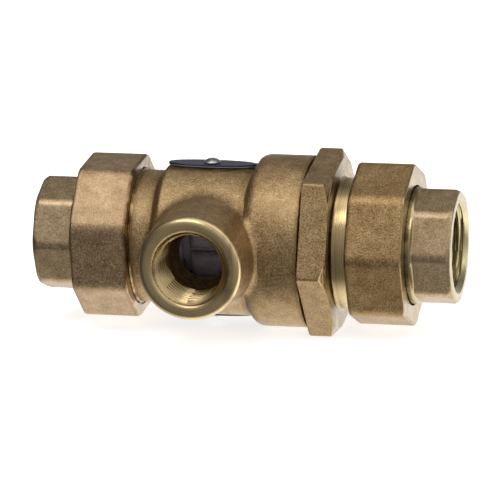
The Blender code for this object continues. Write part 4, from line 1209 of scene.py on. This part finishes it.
low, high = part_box("strainer_screen")
mesh_start, mesh_end = low.x + RIM_DEPTH, high.x - RIM_DEPTH
mesh_radius = STRAINER_RADIUS - STRAINER_WALL / 2
length_wires = run_tree(
    rod("strainer_length_wires", (mesh_start, 0, mesh_radius), (mesh_end, 0, mesh_radius), MESH_WIRE),
    copies_tree, Count=MESH_WIRES, Turn=2 * math.pi / MESH_WIRES, Advance=0.0, Material=steel)
hoop = run_tree(empty_shape("strainer_hoops"), oring_tree, Radius=mesh_radius, Wire=MESH_WIRE,
                Start=mesh_start, Material=steel)
hoops = run_tree(hoop, copies_tree, Count=MESH_RINGS, Turn=0.0,
                 Advance=(mesh_end - mesh_start) / (MESH_RINGS - 1), Material=steel)
rim = turned_shape("strainer_rim_pressed", [
    (low.x, STRAINER_RADIUS - STRAINER_WALL), (low.x, high.z), (low.x + STRAINER_WALL, high.z),
    (low.x + STRAINER_WALL, STRAINER_RADIUS), (low.x + 2 * RIM_DEPTH, STRAINER_RADIUS),
    (low.x + 2 * RIM_DEPTH, STRAINER_RADIUS - STRAINER_WALL)], PRESSED_ROUND)
end = turned_shape("strainer_end", [
    (high.x, 0.0), (high.x, STRAINER_RADIUS - 0.0008), (high.x - 0.0008, STRAINER_RADIUS),
    (high.x - 2 * RIM_DEPTH, STRAINER_RADIUS), (high.x - 2 * RIM_DEPTH, STRAINER_RADIUS - STRAINER_WALL),
    (high.x - STRAINER_WALL - 0.0004, STRAINER_RADIUS - STRAINER_WALL - 0.0004),
    (high.x - STRAINER_WALL, 0.0)], PRESSED_ROUND)
strainer = joined(rim, end, length_wires, hoops)
stands_for(strainer, "strainer_screen", "body", steel)


# ---- Check modules, two alike: a brass seat with a raised lip, and on it an acetal cage with four
# arms. In the cage a poppet carries the rubber disc, held by a screw and pushed shut by a spring.

SEAT_NOSE_RADIUS = 0.0088
SEAT_NOSE = 0.0060
SEAT_BORE = 0.0066
CAGE_RADIUS = 0.0117
CAGE_WALL = 0.0013
CAGE_END = 0.0016
CAGE_HUB_RADIUS = 0.0045
STEM_RADIUS = 0.0020
HOLDER_BACK = 0.0019
SPRING_WIRE = 0.00045
SPRING_TURNS = 5.0
SPRING_STEPS = 40                    # round each turn
CAGE_RING_LENGTH = 0.0054            # from the seat's flange
CAGE_SNAP_RADIUS = SEAT_NOSE_RADIUS + 0.0003
ARM_HALF_ANGLE = math.radians(14.4)
SECTOR_STEPS = 10
METAL_ROUND = 0.00015
HOLDER_FLOOR = 0.0026                # from the seat's lip to the floor behind the disc
SCREW_HOLE_END = 0.0053              # from the seat's lip to the end of the screw's hole
SCREW_HOLE_RADIUS = 0.0020
HOLDER_CUP_RADIUS = 0.0089
HOLDER_COLLAR = 0.0020
HOLDER_COLLAR_RADIUS = 0.0056
SCREW_SHANK_RADIUS = 0.0017
SCREW_STEPS = 48
GROOVE_WIDTH = 0.0019                # for an O-ring, on the second seat and on the sleeve
GROOVE_FLOOR = 0.0175
SEAT_GROOVE = 0.00255                # from the seat's end

# Free-cutting brass, turned all over: bright yellow with fine rings
cut_brass = cast_and_cut("turned_free_cutting_brass", ("#a98f52", "#c9b277", "#e0cc96"),
                         ("#b89c5a", "#e2cd92"))
# Acetal copolymer, injection moulded: warm grey, satin, almost smooth
acetal = soft_plastic("moulded_grey_acetal", "#7b7075", "#94888c", 0.42, 0.0005, 0.00001)

spring_tree = wire_tree("coiled_spring", "GeometryNodeCurveSpiral", {
    "Resolution": SPRING_STEPS, "Rotations": "Turns", "Start Radius": "Radius",
    "End Radius": "Radius", "Height": "Length"})


def sector(name, outline, half_angle):
    """A part of a ring: an outline of (x, radius) swept a short way about X, with closed ends."""
    count = len(outline)
    x, radius = np.array(outline).T
    points = np.concatenate([skin(x, radius, angle)
                             for angle in np.linspace(-half_angle, half_angle, SECTOR_STEPS)])
    faces = grid_faces(SECTOR_STEPS, count, closed_rows=False)
    faces += [tuple(range(count)), tuple(range((SECTOR_STEPS - 1) * count, SECTOR_STEPS * count))]
    return new_shape(name, points, faces)


def brass_seat(name, node, body, flange):
    """flange is the outline of (x, radius) from the bore's start out to the nose's root."""
    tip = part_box(node)[1].x
    corners = flange + [(tip - SEAT_NOSE, SEAT_NOSE_RADIUS), (tip - 0.0006, SEAT_NOSE_RADIUS),
                        (tip, SEAT_BORE + 0.0011), (tip, SEAT_BORE + 0.0004), (tip - 0.0008, SEAT_BORE)]
    corners.append((flange[0][0] + flange[0][1] - SEAT_BORE, SEAT_BORE))
    seat = turned_shape(name, corners, METAL_ROUND)
    paint(seat, "turned", np.ones(len(seat.data.vertices)))
    stands_for(seat, node, body, cut_brass)


low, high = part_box("first_check_seat")
brass_seat("first_seat_turned", "first_check_seat", "first_check_hub", [
    (low.x, SEAT_BORE + 0.0015), (low.x, high.z), (high.x - SEAT_NOSE, high.z)])
low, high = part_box("second_check_seat")
groove = low.x + SEAT_GROOVE
groove_end = groove + GROOVE_WIDTH
brass_seat("second_seat_turned", "second_check_seat", "body", [
    (low.x, SEAT_BORE + 0.0030), (low.x, high.z), (groove, high.z), (groove, GROOVE_FLOOR),
    (groove_end, GROOVE_FLOOR), (groove_end, high.z), (high.x - SEAT_NOSE, high.z)])


def check_module(check, face_x, fixed_body, moving_body):
    """The pieces on one seat, whose flange ends at face_x."""
    low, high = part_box(check + "_cage")
    inside = CAGE_RADIUS - CAGE_WALL
    ring_end = face_x + CAGE_RING_LENGTH
    ring = turned_shape(check + "_cage_moulded", [
        (low.x, CAGE_SNAP_RADIUS), (low.x, CAGE_RADIUS), (ring_end, CAGE_RADIUS), (ring_end, inside),
        (ring_end - 0.0010, CAGE_SNAP_RADIUS)])
    hub = turned_shape("cage_hub", [
        (high.x - CAGE_END, STEM_RADIUS + 0.0003), (high.x - CAGE_END, CAGE_HUB_RADIUS + 0.0002),
        (high.x, CAGE_HUB_RADIUS + 0.0002), (high.x, STEM_RADIUS + 0.0003)])
    arm = sector("cage_arm", [
        (ring_end - 0.0004, inside + 0.0001), (ring_end - 0.0004, CAGE_RADIUS - 0.0001),
        (high.x - 0.0004, CAGE_RADIUS - 0.0001), (high.x - 0.0001, CAGE_RADIUS - 0.0004),
        (high.x - 0.0001, CAGE_HUB_RADIUS), (high.x - CAGE_END + 0.0001, CAGE_HUB_RADIUS),
        (high.x - CAGE_END + 0.0001, inside - 0.0006), (high.x - CAGE_END - 0.0006, inside + 0.0001)],
        ARM_HALF_ANGLE)
    arm.data.transform(Matrix.Rotation(math.radians(45), 4, "X"))
    arms = run_tree(arm, copies_tree, Count=4, Turn=math.pi / 2, Advance=0.0, Material=acetal)
    stands_for(joined(ring, hub, arms), check + "_cage", fixed_body, acetal)

    low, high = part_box(check + "_disc_holder")
    lip = face_x + SEAT_NOSE
    hole_end = lip + SCREW_HOLE_END
    floor = lip + HOLDER_FLOOR
    back = floor + HOLDER_BACK
    collar = back + HOLDER_COLLAR
    holder = turned_shape(check + "_poppet_moulded", [
        (hole_end, 0.0), (hole_end, SCREW_HOLE_RADIUS), (floor, SCREW_HOLE_RADIUS),
        (floor, HOLDER_CUP_RADIUS), (low.x, HOLDER_CUP_RADIUS), (low.x, high.z), (back, high.z),
        (back, HOLDER_COLLAR_RADIUS), (collar, HOLDER_COLLAR_RADIUS), (collar, STEM_RADIUS),
        (high.x - 0.0005, STEM_RADIUS), (high.x, STEM_RADIUS - 0.0005), (high.x, 0.0)])
    stands_for(holder, check + "_disc_holder", moving_body, acetal)

    low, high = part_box(check + "_disc_screw")
    screw = turned_shape(check + "_screw_headed", [
        (low.x + 0.0004, 0.0), (low.x + 0.0004, 0.0013), (low.x, 0.0016), (low.x, 0.0031),
        (low.x + 0.0005, high.z), (lip, high.z), (lip, SCREW_SHANK_RADIUS), (high.x, SCREW_SHANK_RADIUS),
        (high.x, 0.0)], METAL_ROUND, SCREW_STEPS)
    stands_for(screw, check + "_disc_screw", moving_body, steel)

    low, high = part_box(check + "_spring")
    length = high.x - low.x
    wire = run_tree(empty_shape(check + "_spring_coiled"), spring_tree, Radius=high.z - SPRING_WIRE,
                    Wire=SPRING_WIRE, Start=low.x + 2 * SPRING_WIRE, Length=length - 4 * SPRING_WIRE,
                    Turns=SPRING_TURNS, Material=steel)
    stands_for(wire, check + "_spring", fixed_body, steel)
    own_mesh(wire)


for check, fixed_body in (("first_check", "first_check_hub"), ("second_check", "body")):
    check_module(check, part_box(check + "_seat")[1].x - SEAT_NOSE, fixed_body, check + "_poppet")


# ---- Vent seat sleeve: grey acetal between the checks. Its lip is the seat that the diaphragm shuts
# against, a web with eight slots lets a leak past to the vent, and eight pads stiffen its tube.

SLEEVE_BORE = 0.0122
SLEEVE_TUBE = 0.0142
CLAMP_BORE = 0.0170
CLAMP_LENGTH = 0.0030
WEB_SPOKES = 8
PAD_HEIGHT = 0.0030
PAD_START, PAD_END = 0.0478, 0.0600
SLEEVE_FLANGE = 0.0038
SLEEVE_GROOVE = 0.00095              # from the flange's start
SLEEVE_STEPS = 360
SPOKE_HALF_ANGLE = math.radians(9.0)
SLEEVE_EDGE = 0.0002                 # its broken edges

low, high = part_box("vent_seat_sleeve")
lip_x, web_x, web_end = low.x + 0.0015, low.x + 0.0022, low.x + 0.0042
flange_x = high.x - SLEEVE_FLANGE
groove = flange_x + SLEEVE_GROOVE
groove_end = groove + GROOVE_WIDTH
angles = np.arange(SLEEVE_STEPS) * 2 * math.pi / SLEEVE_STEPS


def pad_radius(x):
    """The tube's radius with a rounded pad in each eighth of the way round."""
    from_middle = np.abs((angles / (2 * math.pi) * WEB_SPOKES) % 1.0 - 0.5) * 2
    across = np.sqrt(np.clip(1 - (from_middle / 0.93) ** 4, 0, 1))
    middle, half = (PAD_START + PAD_END) / 2, (PAD_END - PAD_START) / 2
    along = np.sqrt(np.clip(1 - ((x - middle) / half) ** 4, 0, 1))
    return SLEEVE_TUBE + PAD_HEIGHT * across * along


outline = [(lip_x, SLEEVE_BORE + 0.0001), (lip_x, SLEEVE_BORE + 0.0009), (web_x, SLEEVE_TUBE),
           (PAD_START, SLEEVE_TUBE)]
outline += [(x, pad_radius(x)) for x in np.linspace(PAD_START, PAD_END, 40)[1:-1]]
outline += [
    (PAD_END, SLEEVE_TUBE), (flange_x, SLEEVE_TUBE + 0.0001), (flange_x, high.z - SLEEVE_EDGE),
    (flange_x + SLEEVE_EDGE, high.z), (groove - 0.0001, high.z), (groove, high.z - SLEEVE_EDGE),
    (groove, GROOVE_FLOOR), (groove_end, GROOVE_FLOOR), (groove_end, high.z - SLEEVE_EDGE),
    (groove_end + 0.0001, high.z), (high.x - SLEEVE_EDGE, high.z), (high.x, high.z - SLEEVE_EDGE),
    (high.x, SLEEVE_BORE + SLEEVE_EDGE), (high.x - SLEEVE_EDGE, SLEEVE_BORE), (lip_x + 0.0004, SLEEVE_BORE)]
tube = lathe_shape("vent_sleeve_moulded", angles, [(x, radius, 0.0) for x, radius in outline])
clamp = turned_shape("clamp_ring", [
    (low.x, CLAMP_BORE), (low.x, high.z), (low.x + CLAMP_LENGTH, high.z), (web_end, high.z - 0.0012),
    (web_end, CLAMP_BORE)])
spoke = sector("web_spoke", [
    (web_x + 0.0001, SLEEVE_TUBE - 0.0002), (web_x + 0.0001, CLAMP_BORE + 0.0002),
    (web_end - 0.0001, CLAMP_BORE + 0.0002), (web_end - 0.0001, SLEEVE_TUBE - 0.0002)],
    SPOKE_HALF_ANGLE)
spoke.data.transform(Matrix.Rotation(math.pi / WEB_SPOKES, 4, "X"))
spokes = run_tree(spoke, copies_tree, Count=WEB_SPOKES, Turn=2 * math.pi / WEB_SPOKES, Advance=0.0,
                  Material=acetal)
stands_for(joined(tube, clamp, spokes), "vent_seat_sleeve", "body", acetal)


# ---- Studio: a pale floor under the valve, one white soft box in front and above, and a room whose
# walls are brighter or darker by direction.

VIEW_AZIMUTH = math.radians(12.943)
VIEW_ELEVATION = math.radians(13.9)
VIEW_ROLL = math.radians(-0.972)
VIEW_DISTANCE = 1.3264
AIM_RIGHT = 0.00093
AIM_DOWN = 0.00185
LENS = 321.3
NEAREST = 0.01

low, high = cad_box
away = Vector((math.sin(VIEW_AZIMUTH) * math.cos(VIEW_ELEVATION),
               -math.cos(VIEW_AZIMUTH) * math.cos(VIEW_ELEVATION), math.sin(VIEW_ELEVATION)))
level = Vector((math.cos(VIEW_AZIMUTH), math.sin(VIEW_AZIMUTH), 0))
upright = level.cross(-away)
right = level * math.cos(VIEW_ROLL) + upright * math.sin(VIEW_ROLL)
up = upright * math.cos(VIEW_ROLL) - level * math.sin(VIEW_ROLL)
camera = new_object("camera", bpy.data.cameras.new("camera"))
camera.data.lens = LENS
camera.data.clip_start = NEAREST
aim = (low + high) / 2 + right * AIM_RIGHT - up * AIM_DOWN
camera.matrix_world = Matrix.Translation(aim + away * VIEW_DISTANCE) @ Matrix(
    (right, up, away)).transposed().to_4x4()
bpy.context.scene.camera = camera

FLOOR_SIZE = 8.0
FLOOR_GLOW = 0.75
floor_mesh = bpy.data.meshes.new("floor")
half = FLOOR_SIZE / 2
corners = [(x, y, low.z) for x, y in ((-half, -half), (half, -half), (half, half), (-half, half))]
floor_mesh.from_pydata(corners, [], [(0, 1, 2, 3)])
floor = new_object("floor", floor_mesh)
paper, tree, shader, place = new_material("white_paper_sweep", Roughness=0.9)
shader.inputs["Base Color"].default_value = linear("#f7f7f7")
shader.inputs["Emission Color"].default_value = linear("#ffffff")
shader.inputs["Emission Strength"].default_value = FLOOR_GLOW
floor_mesh.materials.append(paper)
floor.visible_glossy = False


def soft_box(name, place, size, power):
    """A rectangular lamp that faces the middle of the valve."""
    light = bpy.data.lights.new(name, "AREA")
    light.shape = "RECTANGLE"
    light.size, light.size_y = size
    light.energy = power
    lamp = new_object(name, light)
    lamp.location = place
    lamp.rotation_euler = ((low + high) / 2 - Vector(place)).to_track_quat("-Z", "Y").to_euler()


soft_box("overhead_soft_box", (-0.20, -0.55, 1.00), (0.8, 0.4), 3)

# Light of the room round X: degrees above the horizon in front, and grey level
ROOM_LIGHT = ((-180, "#d2d2d2"), (-95, "#f9f9f9"), (-75, "#c8c8c8"), (-58, "#6c6c6c"), (-45, "#626262"),
              (-5, "#727272"), (12, "#848484"), (25, "#929292"), (50, "#a6a6a6"), (65, "#a2a2a2"),
              (78, "#d0d0d0"), (86, "#ffffff"), (95, "#e6e6e6"), (105, "#828282"), (133, "#4e4e4e"),
              (180, "#959595"))
# The same from the inlet's side, at X -1, to the outlet's, at X 1
SIDE_LIGHT = ((0.04, "#5c5c5c"), (0.26, "#a8a8a8"), (0.38, "#e0e0e0"), (0.60, "#e0e0e0"), (0.95, "#ffffff"))
ROOM_STRENGTH = 2.5
# What the camera sees of the room past the floor's edge
BACKDROP = (0.42, 0.42, 0.42, 1.0)

world = bpy.data.worlds.new("studio_room")
world.use_nodes = True
tree = world.node_tree
direction = add_node(tree, "ShaderNodeSeparateXYZ", {
    0: add_node(tree, "ShaderNodeTexCoord").outputs["Generated"]})
front = add_node(tree, "ShaderNodeMath", {0: direction.outputs[1], 1: -1.0}, operation="MULTIPLY")
height = add_node(tree, "ShaderNodeMath", {0: direction.outputs[2], 1: front}, operation="ARCTAN2")
share = add_node(tree, "ShaderNodeMapRange", {0: height, 1: -math.pi, 2: math.pi})
bands = add_node(tree, "ShaderNodeValToRGB", {0: share}, [(d / 360 + 0.5, grey) for d, grey in ROOM_LIGHT])
across = add_node(tree, "ShaderNodeMapRange", {0: direction.outputs[0], 1: -1.0, 2: 1.0})
sides = add_node(tree, "ShaderNodeValToRGB", {0: across}, SIDE_LIGHT)
room = add_node(tree, "ShaderNodeMix", {0: 1.0, 6: bands, 7: sides}, data_type="RGBA", blend_type="MULTIPLY")
seen = add_node(tree, "ShaderNodeLightPath").outputs["Is Camera Ray"]
room = add_node(tree, "ShaderNodeMix", {0: seen, 6: room, 7: BACKDROP}, data_type="RGBA")
tree.links.new(room.outputs[2], tree.nodes["Background"].inputs["Color"])
tree.nodes["Background"].inputs["Strength"].default_value = ROOM_STRENGTH
bpy.context.scene.world = world
bpy.context.scene.view_settings.view_transform = "Standard"
